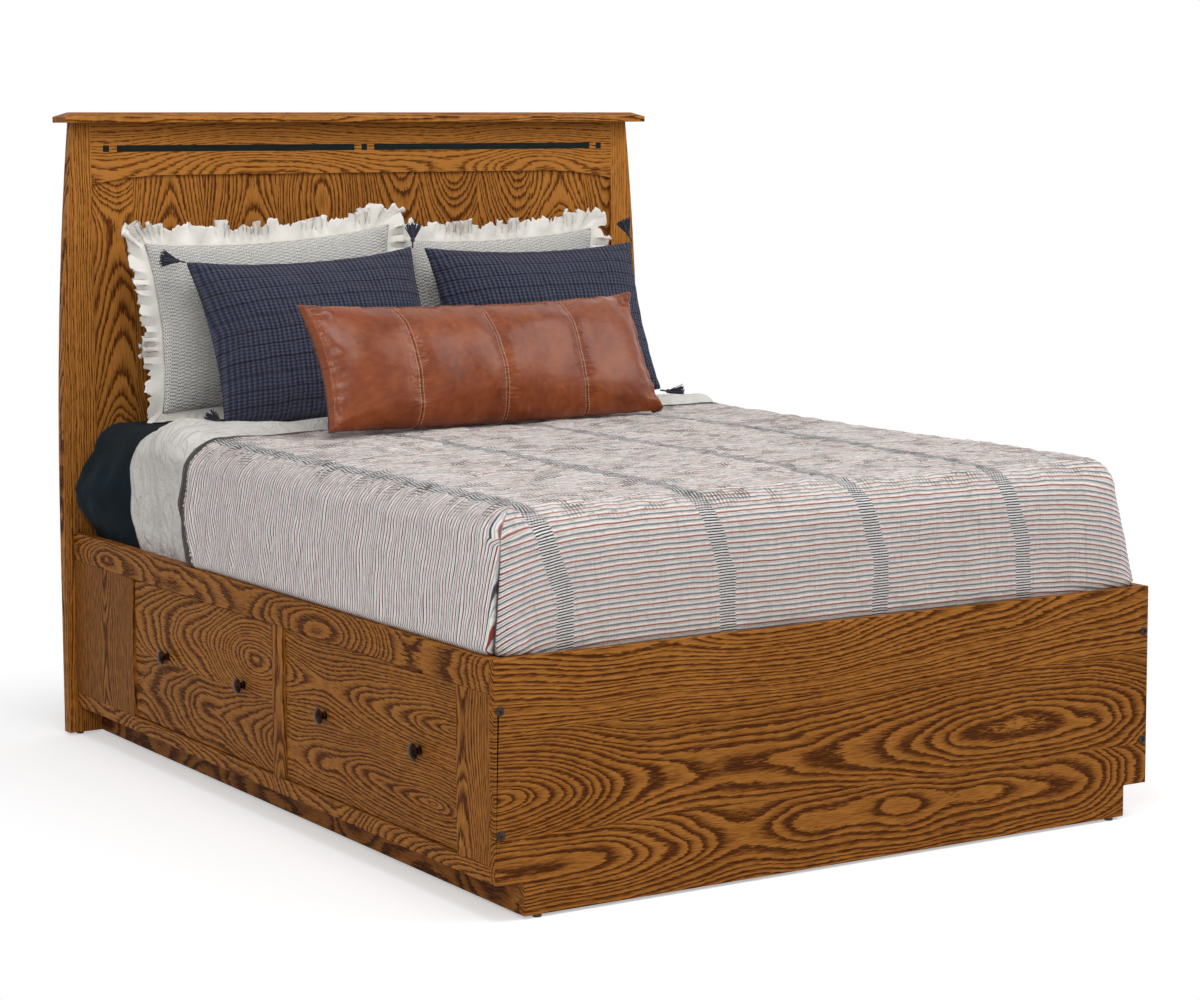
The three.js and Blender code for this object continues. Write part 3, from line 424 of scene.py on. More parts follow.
def turned_piece(name, outline, centre, axis, steps, finish):
    """A lathe-turned piece: an outline of (distance from the axis, distance along it) spun round the
    axis."""
    points = [Vector(centre) + Vector((0, 0, radius)) + Vector(axis) * reach for radius, reach in outline]
    piece = mesh_piece(name, points, [], [(at, at + 1) for at in range(len(points) - 1)])
    edit(piece, spin={"steps": steps, "angle": 2 * pi, "center": centre, "axis": axis})
    edit(piece, remove_doubles={"threshold": 0.00001}, normals_make_consistent={"inside": False})
    bpy.ops.object.shade_smooth_by_angle(angle=radians(40))
    piece.data.materials.append(finish)
    return piece


def copy_to(piece, name, shift, flip=False):
    """A copy with its own mesh, moved by shift, or mirrored in the middle plane first."""
    twin = piece.copy()
    twin.data = piece.data.copy()
    twin.name = name
    bpy.context.collection.objects.link(twin)
    if flip:
        twin.data.transform(Matrix.Scale(-1, 4, (1, 0, 0)))
        twin.data.flip_normals()
    twin.data.transform(Matrix.Translation(shift))
    return twin


bolt_x = 0.794
bolt_levels = {"upper": 0.404, "lower": 0.168}
bolt_outline = [
    (0.0, -0.0755), (0.0028, -0.0755), (0.0032, -0.0745), (0.0032, -0.0001), (0.0092, -0.0001),
    (0.0095, 0.0003), (0.0095, 0.0014), (0.0088, 0.0022), (0.0072, 0.0025), (0.0, 0.0025),
]
first_bolt = turned_piece(
    "left_upper_bolt_head", bolt_outline, (-bolt_x, foot_y, bolt_levels["upper"]), (0, -1, 0), 40, bronze,
)
socket_radius, socket_depth, face_reach = 0.0036, 0.0032, 0.0025
bpy.ops.mesh.primitive_cylinder_add(
    vertices=6, radius=socket_radius, depth=socket_depth, rotation=(pi / 2, 0, 0),
    location=(-bolt_x, foot_y - face_reach, bolt_levels["upper"]),
)
socket = bpy.context.object
pick(socket)
bpy.ops.object.transform_apply(location=True, rotation=True, scale=True)
applied(first_bolt, "BOOLEAN", object=socket, solver="EXACT")
bpy.data.objects.remove(socket)
for word, side in (("left", -1), ("right", 1)):
    for name, z in bolt_levels.items():
        shift = (bolt_x + side * bolt_x, 0, z - bolt_levels["upper"])
        bolt = first_bolt if shift == (0, 0, 0) else copy_to(first_bolt, f"{word}_{name}_bolt_head", shift)
        declare(bolt, f"{word}_{name}_bolt")

# Floor glides: moulded discs of black nylon, nailed under the footboard and the posts, so that the bed
# stands clear of the floor.
# moulded nylon: an even, slightly dull black
nylon, node, shader = finish_of("black_nylon_glides", 0.5, 1.53)
spotted(node, shader, 700.0, 2.0, [(0.3, "181818"), (0.7, "262626")])
for word in ("left_foot", "right_foot", "left_head", "right_head"):
    dress(f"{word}_glide", nylon, 0.001)

# Carcase: the base, the deck and the three bulkheads, sawn from birch plywood and sealed clear. They are
# screwed together inside the frames, out of sight.
# birch under a clear sealer: pale, with long flames and a soft shine
plywood, node, shader = finish_of("sealed_birch_plywood", 0.55, 1.5)
place = node("TexCoord").outputs["Object"]
flame = streaks(node, place, (42.0, 5.0, 42.0), Detail=4.0, Distortion=0.6)
mixed = node("Math MULTIPLY_ADD", node("TexNoise", place, Scale=240.0, Detail=2.0), 0.25, flame)
colour = node("ValToRGB", mixed, stops=[(0.4, "D8B98A"), (0.62, "C9A672"), (0.85, "B08A58")])
feed(shader, Base_Color=colour, Normal=node("Bump", Strength=0.15, Distance=0.0002, Height=mixed))
for name in ("base_panel", "deck_panel", "foot_bulkhead", "middle_bulkhead", "head_bulkhead"):
    dress(name, plywood, 0.0006)

# Drawers: four plywood boxes with corner joints, each behind an inset oak front with two turned knobs. A
# wooden runner under the box rides on a waxed oak guide.
# the oak of the guides and runners isn't seen, and is a shade darker
guide_oak = oak("waxed_oak_guides", "XYZ", [0.0], 0.1, depth=0.05, tone=0.1, seed=71.0)
runner_oak = oak("waxed_oak_runners", "XYZ", [0.4], 0.1, depth=0.05, tone=0.1, seed=73.0)
front_seeds = {"left": {"foot": 81.0, "head": 84.0}, "right": {"foot": 87.0, "head": 92.0}}
# bronze oiled and rubbed: nearly black and gleaming, with worn brown spots
knob_bronze, node, shader = finish_of("oil_rubbed_bronze_knobs", 0.3, Metallic=1.0)
worn = spotted(node, shader, 90.0, 4.0, [(0.35, "150C07"), (0.55, "29160C"), (0.8, "573014")])
feed(shader, Roughness=node("MapRange", worn, To_Min=0.26, To_Max=0.42))
front_x, knob_z, knob_half_spacing, knob_towards_foot = 0.8005, 0.276, 0.206, 0.015
knob_outline = [
    (0.0, 0.0), (0.0098, 0.0), (0.01, 0.0006), (0.01, 0.0026), (0.0092, 0.0034), (0.0074, 0.005),
    (0.0068, 0.0075), (0.0072, 0.0095), (0.0098, 0.0115), (0.0142, 0.0129), (0.0166, 0.0141),
    (0.0175, 0.0156), (0.0171, 0.0171), (0.0156, 0.0183), (0.0128, 0.0201), (0.009, 0.0218),
    (0.0045, 0.0228), (0.0, 0.023),
]
first_knob = turned_piece("knob", knob_outline, (-front_x, foot_y, knob_z), (-1, 0, 0), 44, knob_bronze)
for place in ("foot", "head"):
    dress(f"{place}_drawer_guide", guide_oak, 0.001)
for word, side in (("left", -1), ("right", 1)):
    for place, (start, end) in openings.items():
        drawer = f"{word}_{place}_drawer"
        front_oak = oak(
            f"stained_oak_{word}_{place}_front", "YZX", [0.18, 0.34], side * side_face, depth=-side * 0.09,
            seams=(0.262,), ring=0.0064, tone=-0.09, seed=front_seeds[word][place], lean=0.1,
        )
        dress(f"{drawer}_front", front_oak, 0.0016)
        dress(f"{drawer}_box", plywood, 0.0008)
        dress(f"{drawer}_runner", runner_oak, 0.0008)
        for tip, way in (("foot", -1), ("head", 1)):
            y = (start + end) / 2 - knob_towards_foot + way * knob_half_spacing
            knob = copy_to(first_knob, f"{drawer}_{tip}_pull", (0, y, 0), side > 0)
            declare(knob, f"{drawer}_{tip}_knob", body=drawer)
bpy.data.objects.remove(first_knob)

# Mattress: a foam and spring block in quilted white ticking, with a taped edge round its top and bottom.
# It lies on the deck, held in by the frame.
mattress_low, mattress_high = 0.4623, 0.7673
edge_radius = 0.064
core_x = 0.698
core_foot, core_head = foot_y + 0.1, foot_y + 2.004
core_top = mattress_high - edge_radius


def stations(xs, ys, turn_steps, closed=True):
    """Places round the bed's flat core, each with the way the cloth leaves it: up the left side from the
    head, round the foot and back along the right side, and over the head end where the path is closed."""
    def corner(x, y, start):
        angles = [start + step / turn_steps * pi / 2 for step in range(1, turn_steps)]
        return [(x, y, cos(angle), sin(angle)) for angle in angles]

    walk = [(-core_x, y, -1.0, 0.0) for y in reversed(ys)] + corner(-core_x, core_foot, pi)
    walk += [(x, core_foot, 0.0, -1.0) for x in xs] + corner(core_x, core_foot, 1.5 * pi)
    walk += [(core_x, y, 1.0, 0.0) for y in ys]
    if closed:
        walk += corner(core_x, core_head, 0.0) + [(x, core_head, 0.0, 1.0) for x in reversed(xs)]
        walk += corner(-core_x, core_head, pi / 2)
    return walk


def cloth_over_bed(name, walk, profile, xs, ys, top, closed=True, top_shift=None, fold_turn=None):
    """A mesh of cloth that hangs from the bed's core all round and lies on its top. A profile gives, from
    the core outwards and down, (distance out, height, shift along the bed). Its UV map holds metres of
    cloth: across the bed from the middle, and along it from the foot of the core. At a foot corner folded
    at fold_turn, the cloth of the foot and of the side each run on round the corner up to the fold."""
    points, weave, rows = [], [], []
    for x, y, nx, ny in walk:
        line = profile(x, y, nx, ny)
        rows.append(range(len(points), len(points) + len(line)))
        turn, way = atan2(abs(ny), abs(nx)), copysign(1, nx)
        run = 0.0
        for (last_out, last_z, _), (out, z, slide) in zip([line[0], *line], line):
            run += hypot(out - last_out, z - last_z)
            points.append((x + nx * out, y + ny * out + slide, z))
            if fold_turn is None or ny > -0.001 or abs(nx) < 0.001:
                weave.append((x + nx * run, y - core_foot + ny * run))
            elif turn > fold_turn:
                weave.append((x + way * out * (pi / 2 - turn), -run))
            else:
                weave.append((x + way * run, -out * turn))
    strips = list(zip(rows, rows[1:] + rows[:1] if closed else rows[1:]))
    faces = [(a[at], a[at + 1], b[at + 1], b[at]) for a, b in strips for at in range(len(a) - 1)]
    grid = []
    for y in ys:
        grid.append(range(len(points), len(points) + len(xs)))
        for x in xs:
            slide = top_shift(x, y) if top_shift else 0.0
            points.append((x, y + slide, top(x, y)))
            weave.append((x, y + slide - core_foot))
    strips = zip(grid, grid[1:])
    faces += [(a[at], a[at + 1], b[at + 1], b[at]) for a, b in strips for at in range(len(a) - 1)]
    piece = mesh_piece(name, points, faces, cloth=weave)
    edit(piece, remove_doubles={"threshold": 0.00005})
    return piece


def spaced(start, end, step):
    """Places from start to end, about step apart."""
    count = max(1, round((end - start) / step))
    return [start + (end - start) * at / count for at in range(count + 1)]


def rounded_edge(offset, steps):
    """The mattress's top edge, from its flat top outwards and down, offset outwards."""
    radius = edge_radius + offset
    return [
        (radius * sin(at / steps * pi / 2), core_top + radius * cos(at / steps * pi / 2))
        for at in range(steps + 1)
    ]


# ticking stitched in squares that stand on their corners: white puffs between darker lines
ticking, node, shader = finish_of("quilted_white_ticking", 0.9, Sheen_Weight=0.2)
cloth_place = node("UVMap", uv_map="cloth")
quilt = node("Mapping", cloth_place, Rotation=(0, 0, pi / 4), Scale=(11.0, 11.0, 1.0))
cells = node(
    "TexVoronoi", quilt, Scale=1.0, Randomness=0.0, feature="DISTANCE_TO_EDGE", voronoi_dimensions="2D",
)
puff = node("ValToRGB", cells, stops=[(0.0, 0.0), (0.08, 0.5), (0.5, 1.0)])
colour = node("MixRGB", puff, linear("CFCBC2"), linear("ECE9E2"))
feed(shader, Base_Color=colour, Normal=node("Bump", Strength=0.6, Distance=0.004, Height=puff))

mattress_inset, tape_height = 0.0015, 0.0008


def mattress_profile(x, y, nx, ny):
    line = [(out, z, 0.0) for out, z in rounded_edge(-mattress_inset, 8)]
    middle = edge_radius - mattress_inset
    line.insert(6, (line[5][0] + tape_height, line[5][1] + tape_height, 0.0))
    line += [(middle, core_top - 0.06, 0.0), (middle, mattress_low + edge_radius + 0.04, 0.0)]
    for at in range(8, -1, -1):
        angle = at / 8 * pi / 2
        line.append((middle * sin(angle), mattress_low + edge_radius - middle * cos(angle), 0.0))
    return line


wide_xs, wide_ys = spaced(-core_x, core_x, 0.1), spaced(core_foot, core_head, 0.1)
mattress = cloth_over_bed(
    "mattress_body", stations(wide_xs, wide_ys, 6), mattress_profile, wide_xs, wide_ys,
    lambda x, y: mattress_high - mattress_inset,
)
edit(mattress, select_all={"action": "DESELECT"}, select_non_manifold={"extend": False}, edge_face_add={})
edit(mattress, normals_make_consistent={"inside": False})
declare(mattress, "mattress", ticking)


# Fitted sheet: dark navy cotton in a plain weave, held over the mattress by elastic under its edge, and
# loose at the two head corners.
def plain_cotton(name, light, dark, thread_mm, sheen=0.25, specular=0.3, crumple=(20.0, 30.0, 0.003)):
    """Plain woven cotton, with a soft change of shade over the creases. Its threads are about 0.3 mm apart,
    too fine to show in the render, so they are drawn thread_mm apart. Crumple is how many creases to a
    metre across the bed and along it, and their depth."""
    made, node, shader = finish_of(name, 0.9, 1.5, Sheen_Weight=sheen, specular=specular)
    cloth_place = node("UVMap", uv_map="cloth")
    threads = node("Mapping", cloth_place, Scale=(1000 / thread_mm, 1000 / thread_mm, 1.0))
    # at a scale of pi / 10 the wave texture draws one band to a unit
    bands = {"wave_type": "BANDS", "Scale": 0.314, "Distortion": 1.2, "Detail": 1.0}
    warp, weft = (node("TexWave", threads, bands_direction=way, **bands) for way in "XY")
    weave = node("Math ADD", warp, weft)
    shade = node("Math MULTIPLY_ADD", weave, 0.16, node("TexNoise", cloth_place, Scale=9.0, Detail=4.0))
    colour = node("ValToRGB", shade, stops=[(0.3, dark), (0.85, light)])
    bump = node("Bump", Strength=0.35, Distance=0.0004, Height=weave)
    crumples = streaks(node, cloth_place, (crumple[0], crumple[1], 1.0), Detail=2.0, Distortion=1.0)
    bump = node("Bump", Strength=0.6, Distance=crumple[2], Height=crumples, Normal=bump)
    feed(shader, Base_Color=colour, Normal=bump)
    return made


def within(value):
    """The value, kept between 0 and 1."""
    return min(1.0, max(0.0, value))


def wobble(*place):
    """Soft noise from -1 to 1."""
    return noise.noise(Vector(place))


def crease(point, size, seed):
    """Soft noise from -1 to 1 at a place, for folds of about that size in metres, drawn out by its three
    parts."""
    return wobble(point[0] / size[0] + seed, point[1] / size[1] - seed, point[2] / size[2] + 2 * seed)


def give_folds(piece, lift):
    """Moves each point of a cloth outwards, along its own normal, by lift(place)."""
    mesh = piece.data
    mesh.update()
    moved = [vertex.co + vertex.normal * lift(vertex.co) for vertex in mesh.vertices]
    for vertex, place in zip(mesh.vertices, moved):
        vertex.co = place
    mesh.update()


def face_out(piece):
    """Turns the faces of an open cloth outwards and up."""
    top_face = max(piece.data.polygons, key=lambda polygon: polygon.center.z).index
    edit(piece, normals_make_consistent={"inside": False})
    if piece.data.polygons[top_face].normal.z < 0:
        piece.data.flip_normals()


hem_z = mattress_low + 0.01
fitted_offset, fitted_thickness, side_steps = 0.0011, 0.0008, 18
loose_start, loose_run, loose_bulge = foot_y + 1.7953, 0.15, 0.056
bulge_levels = [
    (0.0, 0.0), (0.13, 0.05), (0.27, 0.42), (0.43, 0.8), (0.62, 1.0), (0.77, 0.65), (0.92, 0.3), (1.0, 0.1),
]


def between(table, share):
    """The value at share in a table of (place, value), by straight lines."""
    for (low, first), (high, second) in zip(table, table[1:]):
        if share <= high:
            return first + (second - first) * (share - low) / (high - low)
    return table[-1][1]


def fitted_profile(x, y, nx, ny):
    loose = within((y - loose_start) / loose_run) * abs(nx) ** 3
    line = [(out, z, 0.0) for out, z in rounded_edge(fitted_offset, 7)]
    for at in range(1, side_steps + 1):
        share = 1 - at / side_steps
        z = hem_z + share * (core_top - hem_z)
        slack = 0.004 * loose * sin(9 * share + 40 * (y - loose_start))
        out = edge_radius + fitted_offset + loose_bulge * loose * between(bulge_levels, share) - abs(slack)
        line.append((out, z, 0.0))
    return line


# dyed cotton: so dark that only the folds are seen
navy_cotton = plain_cotton("navy_cotton_sheet", "18232A", "0A1014", 1.6, sheen=0.02, specular=0.1)
sheet_xs = spaced(-core_x, core_x, 0.03)
sheet_ys = spaced(core_foot, loose_start, 0.1) + spaced(loose_start, core_head, 0.012)[1:]
fitted = cloth_over_bed(
    "navy_fitted_sheet", stations(sheet_xs, sheet_ys, 9), fitted_profile, sheet_xs, sheet_ys,
    lambda x, y: mattress_high + fitted_offset,
)
face_out(fitted)


sheet_lift, low_lift = 0.0015, 0.006


def fitted_lift(place):
    showing = within((place.y - loose_start) / 0.05)
    low = within((mattress_high - place.z) / 0.1)
    pull = crease(place, (0.12, 0.05, 0.22), 3.1) + 0.5 * crease(place, (0.05, 0.03, 0.1), 8.7)
    return showing * (sheet_lift + low * low_lift * (0.6 + pull))


give_folds(fitted, fitted_lift)
applied(fitted, "SOLIDIFY", thickness=fitted_thickness, offset=-1)
declare(fitted, "fitted_sheet", navy_cotton)

# Flat sheet: soft white cotton laid across the bed over the fitted sheet, with its sides tucked inside
# the frame. Its head end shows beyond the coverlet.
flat_edge = [
    (-1.01, 1.728), (-0.955, 1.772), (-0.9, 1.799), (-0.85, 1.803), (-0.78, 1.775), (-0.7, 1.745),
    (0.0, 1.75), (0.7, 1.76), (0.85, 1.79), (1.01, 1.74),
]
flat_offset, flat_thickness, drop_steps = 0.003, 0.0012, 22
drop = [core_top + (hem_z - core_top) * at / drop_steps for at in range(1, drop_steps + 1)]
arch = rounded_edge(flat_offset, 7) + [(edge_radius + flat_offset, z) for z in drop]
arch_run = [0.0]
for (out_a, z_a), (out_b, z_b) in zip(arch, arch[1:]):
    arch_run.append(arch_run[-1] + hypot(out_b - out_a, z_b - z_a))
arch_line = [(-core_x - out, z, -core_x - run) for (out, z), run in zip(reversed(arch), reversed(arch_run))]
arch_line += [(x, mattress_high + flat_offset, x) for x in spaced(-core_x, core_x, 0.012)[1:-1]]
arch_line += [(core_x + out, z, core_x + run) for (out, z), run in zip(arch, arch_run)]
along_shares = [0, 0.2, 0.4, 0.55, 0.65, 0.72] + [0.76 + 0.24 * at / 54 for at in range(55)]
points, weave = [], []
for share in along_shares:
    for x, z, run in arch_line:
        head = foot_y + between(flat_edge, run) - 0.004
        y = core_foot + share * (head - core_foot)
        points.append((x, y, z))
        weave.append((run, y - core_foot))
wide = len(arch_line)
corners = [row * wide + at for row in range(len(along_shares) - 1) for at in range(wide - 1)]
faces = [(first, first + 1, first + wide + 1, first + wide) for first in corners]
flat_sheet = mesh_piece("white_flat_sheet", points, faces, cloth=weave)
face_out(flat_sheet)
# the coverlet's head edge, from the footboard's front on the middle line, with its slant across the bed and
# its bow down the side
cover_edge_y, head_slant, head_bow = 1.487, 0.052, 0.052
bow_levels = [(0.0, -0.96), (0.01, -0.96), (0.14, -0.54), (0.29, -0.06), (0.5, 0.45), (0.64, 0.8), (1.0, 0.7)]


def bell(away, width):
    """1 at no distance, fading to nothing at about twice the width."""
    return exp(-((away / width) ** 2))


wrinkle_lift, side_wrinkle, cuff_lift, cuff_width = 0.0055, 0.006, 0.025, 0.04


def flat_lift(place):
    """Lift of the showing end of the sheet: wrinkles all over, and a puffed cuff on the top next to the
    coverlet."""
    y = place.y - foot_y
    down = within((place.z - rail_z) / (core_top - rail_z))
    side = within((abs(place.x) - core_x) / edge_radius)
    open_from = cover_edge_y + head_slant * max(-1.0, min(1.0, place.x / core_x)) + 0.008
    open_from += side * head_bow * between(bow_levels, down)
    showing = within((y - open_from) / 0.04)
    soft = 0.55 + crease(place, (0.3, 0.055, 0.16), 1.7) + 0.6 * crease(place, (0.12, 0.03, 0.07), 5.3)
    fine = crease(place, (0.06, 0.02, 0.05), 7.7) * 0.0022
    rim = within((foot_y + 1.83 - place.y) / 0.04)
    level = within((place.z - core_top) / edge_radius) ** 0.6
    left = within((-0.52 - place.x) / 0.14)
    puff_at = cover_edge_y + head_slant * place.x / core_x + 0.07 + 0.1 * left
    puff_at += 0.012 * crease(place, (0.2, 0.4, 0.2), 8.1)
    puff = (cuff_lift + 0.01 * left) * bell(y - puff_at, cuff_width + 0.07 * left) * level
    puff *= 1 + 0.35 * crease(place, (0.11, 0.3, 0.3), 2.9)
    soft = max(0.0, soft) * (wrinkle_lift + side_wrinkle * side) * (0.35 + 0.65 * rim)
    return showing * (soft + max(-0.0005, fine) + puff)


give_folds(flat_sheet, flat_lift)
applied(flat_sheet, "SOLIDIFY", thickness=flat_thickness, offset=-1)
# washed cotton: soft white, crumpled all over
white_cotton = plain_cotton("soft_white_cotton_sheet", "DEDAD4", "C9C4BD", 1.8, crumple=(26.0, 44.0, 0.034))
declare(flat_sheet, "flat_sheet", white_cotton)

# Coverlet: two crinkled layers of cotton woven with fine rust, slate and white stripes, and wider dashed
# bands along the bed. It is tucked inside the frame, pleated at the foot corners, and its raw hem is turned
# at the head.
cover_thickness, cover_offset, cover_hem_z, rail_gap = 0.0045, 0.0083, 0.471, 0.0012
side_flare, foot_flare, corner_flare, crown = 0.03, 0.002, 0.026, 0.008
flare_levels = [(0.0, 0.86), (0.05, 1.0), (0.14, 0.87), (0.29, 0.74), (0.64, 0.4), (1.0, 0.0)]
pleat_turn, pleat_depth = 0.62, 0.011  # the fold at each foot corner
fold_rise, fold_run = 0.006, 0.07


def repeated(node, at, pitch_mm):
    """How far a place in metres is into the pitch that it lies in, from 0 to 1."""
    return node("Math FRACT", node("Math MULTIPLY", at, 1000 / pitch_mm))


def head_y(x):
    return foot_y + cover_edge_y + head_slant * x / core_x


def head_rise(y, x):
    run = head_y(x) - y
    return fold_rise * sqrt(max(0.0, 1 - run / fold_run)) if run < fold_run else 0.0


def cover_profile(x, y, nx, ny):
    share_back = within((y - core_foot) / (head_y(x) - core_foot))
    bow = head_bow * share_back * abs(nx)
    corner = (2 * nx * ny) ** 2
    flare = side_flare * nx * nx + foot_flare * ny * ny + corner_flare * corner
    radius = edge_radius + cover_offset + (head_rise(y, x) if abs(nx) > 0.9 else 0.0)
    slack = edge_radius + cover_offset
    pleat = pleat_depth * bell(atan2(abs(ny), abs(nx)) - pleat_turn, 0.055) if ny < 0 else 0.0
    line = []
    for at in range(9):
        angle = at / 8 * pi / 2
        line.append((radius * sin(angle), core_top + radius * cos(angle), bow * bow_levels[-1][1] * at / 8))
    free_low = rail_z + rail_gap
    steps = 20
    for at in range(1, steps + 1):
        share = 1 - at / steps
        z = free_low + share * (core_top - free_low)
        dip = pleat * min(1.0, (1 - share) * 3)
        out = radius + between(flare_levels, share) * flare - dip
        line.append((out, z, bow * between(bow_levels, share)))
    for z in (rail_z - 0.002, rail_z - 0.012, cover_hem_z):
        line.append((slack, z, bow * -1.1))
    return line


cover_xs = spaced(-core_x, core_x, 0.0105)
cover_ys = spaced(core_foot, foot_y + cover_edge_y, 0.0105)


def cover_slide(x, y):
    """How far a row of the top is moved along the bed, so that the last row follows the slanting head
    edge."""
    return (y - core_foot) / (foot_y + cover_edge_y - core_foot) * head_slant * x / core_x


def cover_top(x, y):
    place = y + cover_slide(x, y)
    share = (head_y(x) - place) / (head_y(x) - core_foot)
    swell = crown * (1 - (x / core_x) ** 4) * (1 - (2 * share - 1) ** 4)
    return mattress_high + cover_offset + head_rise(place, x) + swell


cover_walk = [
    (x, y + (cover_slide(x, y) if abs(nx) > 0.99 else 0.0), nx, ny)
    for x, y, nx, ny in stations(cover_xs, cover_ys, 44, closed=False)
]
coverlet = cloth_over_bed(
    "striped_coverlet", cover_walk, cover_profile, cover_xs, cover_ys, cover_top, closed=False,
    top_shift=cover_slide, fold_turn=pleat_turn,
)
face_out(coverlet)


pucker_lift, drop_fold, broad_swell = 0.0034, 0.005, 0.003


def cover_lift(place):
    """Crinkles of the cloth: small puckers between the stripes, and soft folds down the drops."""
    drop = within((mattress_high - place.z) / 0.08)
    tucked = within((place.z - rail_z - 0.004) / 0.02)
    small = crease(place, (0.04, 0.02, 0.045), 4.4) * pucker_lift
    small += crease(place, (0.1, 0.035, 0.09), 9.9) * pucker_lift
    fold_way = (0.05, 0.05, 0.45)
    folds = crease(place, fold_way, 6.1) * drop_fold * (0.35 + 0.65 * (mattress_high - place.z) / 0.27)
    broad = crease(place, (0.3, 0.22, 0.3), 2.2) * broad_swell
    top_lift = max(-0.0004, small * 1.1 + broad + 0.0018)
    side_lift = small * 0.8 + folds
    return ((1 - drop) * top_lift + drop * side_lift) * tucked


give_folds(coverlet, cover_lift)
applied(coverlet, "SOLIDIFY", thickness=cover_thickness, offset=-1)

# a second map of the cloth: metres from the torn head edge, and nearness to the corner fold
mesh = coverlet.data
cloth_layer, edge_layer = mesh.uv_layers["cloth"], mesh.uv_layers.new(name="edge")
cover_length = foot_y + cover_edge_y - core_foot
corner_sag = 0.035
for loop in mesh.loops:
    u, v = cloth_layer.data[loop.index].uv
    slant = head_slant * max(-1.0, min(1.0, u / core_x)) / cover_length
    place = mesh.vertices[loop.vertex_index].co
    at_corner = place.y < core_foot and abs(place.x) > core_x
    turn = atan2(core_foot - place.y, abs(place.x) - core_x) if at_corner else 0.0
    fold = bell(turn - pleat_turn, 0.035) * within((core_top - place.z) / 0.05)
    edge_layer.data[loop.index].uv = (cover_length - v / (1 + slant), fold)
    # the foot's stripes sink towards its corners
    if v < 0 and abs(u) < core_x + 0.1:
        sunk = corner_sag * exp((abs(u) - core_x - 0.05) / 0.09) * min(1.0, -v / 0.1)
        cloth_layer.data[loop.index].uv = (u, v + sunk)

stripe_mm, dash_line_mm, top_dash_mm, tick_mm = 20.5, 5.5, 7.0, 8.5
band_pitch, band_first, band_half = 0.372, -0.328, 0.018
# crinkled cotton: matt, with ridged stripes across the bed and painted shade in the hollows between them
cover_cloth, node, shader = finish_of("crinkled_striped_cotton", 0.92, 1.5, Sheen_Weight=0.15, specular=0.2)
cloth_place = node("UVMap", uv_map="cloth")
from_edge, fold_shade, _ = node("SeparateXYZ", node("UVMap", uv_map="edge")).outputs
across_bed, along_bed, _ = node("SeparateXYZ", cloth_place).outputs
place = node("TexCoord").outputs["Object"]
bed_x, _, bed_z = node("SeparateXYZ", place).outputs
on_top = node("MapRange", bed_z, mattress_high - 0.03, mattress_high + 0.005)
wander = node("TexNoise", cloth_place, Scale=17.0, Detail=2.0)
small_wander = node("TexNoise", cloth_place, Scale=150.0, Detail=2.0)
line_at = node("Math MULTIPLY", wander, node("MapRange", on_top, To_Min=0.004, To_Max=0.014))
line_at = node("Math MULTIPLY_ADD", small_wander, 0.0009, node("Math ADD", line_at, along_bed))
stripe = repeated(node, line_at, stripe_mm)
# the stripes: the greys at 0, 0.52 and 1 are painted shade in the furrows between the ridges
stripes = node("ValToRGB", stripe, stops=[
    (0.0, "CCC2BC"), (0.08, "F0EAE5"), (0.15, "A9604D"), (0.24, "AD6856"), (0.32, "F0EAE5"), (0.45, "EDE6E1"),
    (0.52, "C6BDB7"), (0.57, "EAE3DE"), (0.65, "7A8287"), (0.75, "80888D"), (0.84, "F0EAE5"), (1.0, "CCC2BC"),
])
# on the side drops the light rakes the ridges, and their furrows look darker
raked = node("ValToRGB", stripe, stops=[
    (0.0, "B0A59F"), (0.05, "FBF8F5"), (0.14, "FBF8F5"), (0.18, "8F3522"), (0.31, "933C2A"),
    (0.36, "FBF8F5"), (0.47, "FBF8F5"), (0.52, "B0A59F"), (0.57, "FBF8F5"), (0.64, "FBF8F5"),
    (0.68, "44494D"), (0.79, "4A4F53"), (0.84, "FBF8F5"), (1.0, "B0A59F"),
])
aside = node("MapRange", node("Math ABSOLUTE", bed_x), core_x + 0.035, core_x + 0.066)
stripes = node("MixRGB", aside, stripes, raked)
soft_patches = node("TexNoise", cloth_place, Scale=7.0, Detail=3.0)
patch_level = node("Math MULTIPLY", node("MapRange", soft_patches, 0.35, 0.7, 0.0, 0.5), on_top)
stripes = node("MixRGB", patch_level, stripes, linear("F2ECE7"))
# the wider bands: dark dashes, in lines dash_line_mm apart, on white, half lost in the crinkles of the top
skewed = node("Math MULTIPLY_ADD", wander, 0.012, across_bed)
below_foot = node("Math MULTIPLY", along_bed, -5.0, use_clamp=True)
skewed = node("Math MULTIPLY_ADD", below_foot, -0.07, skewed)
band = node("Math PINGPONG", node("Math SUBTRACT", skewed, band_first - band_pitch / 2), band_pitch / 2)
band = node("Math SUBTRACT", band_pitch / 2, band)
in_band = node("MapRange", band, band_half, band_half + 0.003, 1.0, 0.0)
lost = node("MapRange", node("TexNoise", cloth_place, Scale=30.0, Detail=3.0), 0.45, 0.62, 0.0, 0.5)
lost = node("Math SUBTRACT", 1.0, node("Math MULTIPLY", lost, on_top))
in_band = node("Math MULTIPLY", in_band, lost)
dash_lines = repeated(node, line_at, dash_line_mm)
dash_dark = node(
    "ValToRGB", dash_lines,
    stops=[(0.0, "ECE8E4"), (0.1, "1E2125"), (0.46, "23262B"), (0.58, "F2EFEC"), (1.0, "ECE8E4")],
)
# seen flat along the top, the band's dashes stand in a row across it
top_dashes = repeated(node, node("Math MULTIPLY_ADD", line_at, -0.15, across_bed), top_dash_mm)
top_dashes = node(
    "ValToRGB", top_dashes,
    stops=[(0.0, "3B4147"), (0.44, "3B4147"), (0.54, "D2D0CE"), (0.92, "D2D0CE"), (1.0, "3B4147")],
)
dash_dark = node("MixRGB", on_top, dash_dark, top_dashes)
cloth_colour = node("MixRGB", in_band, stripes, dash_dark)
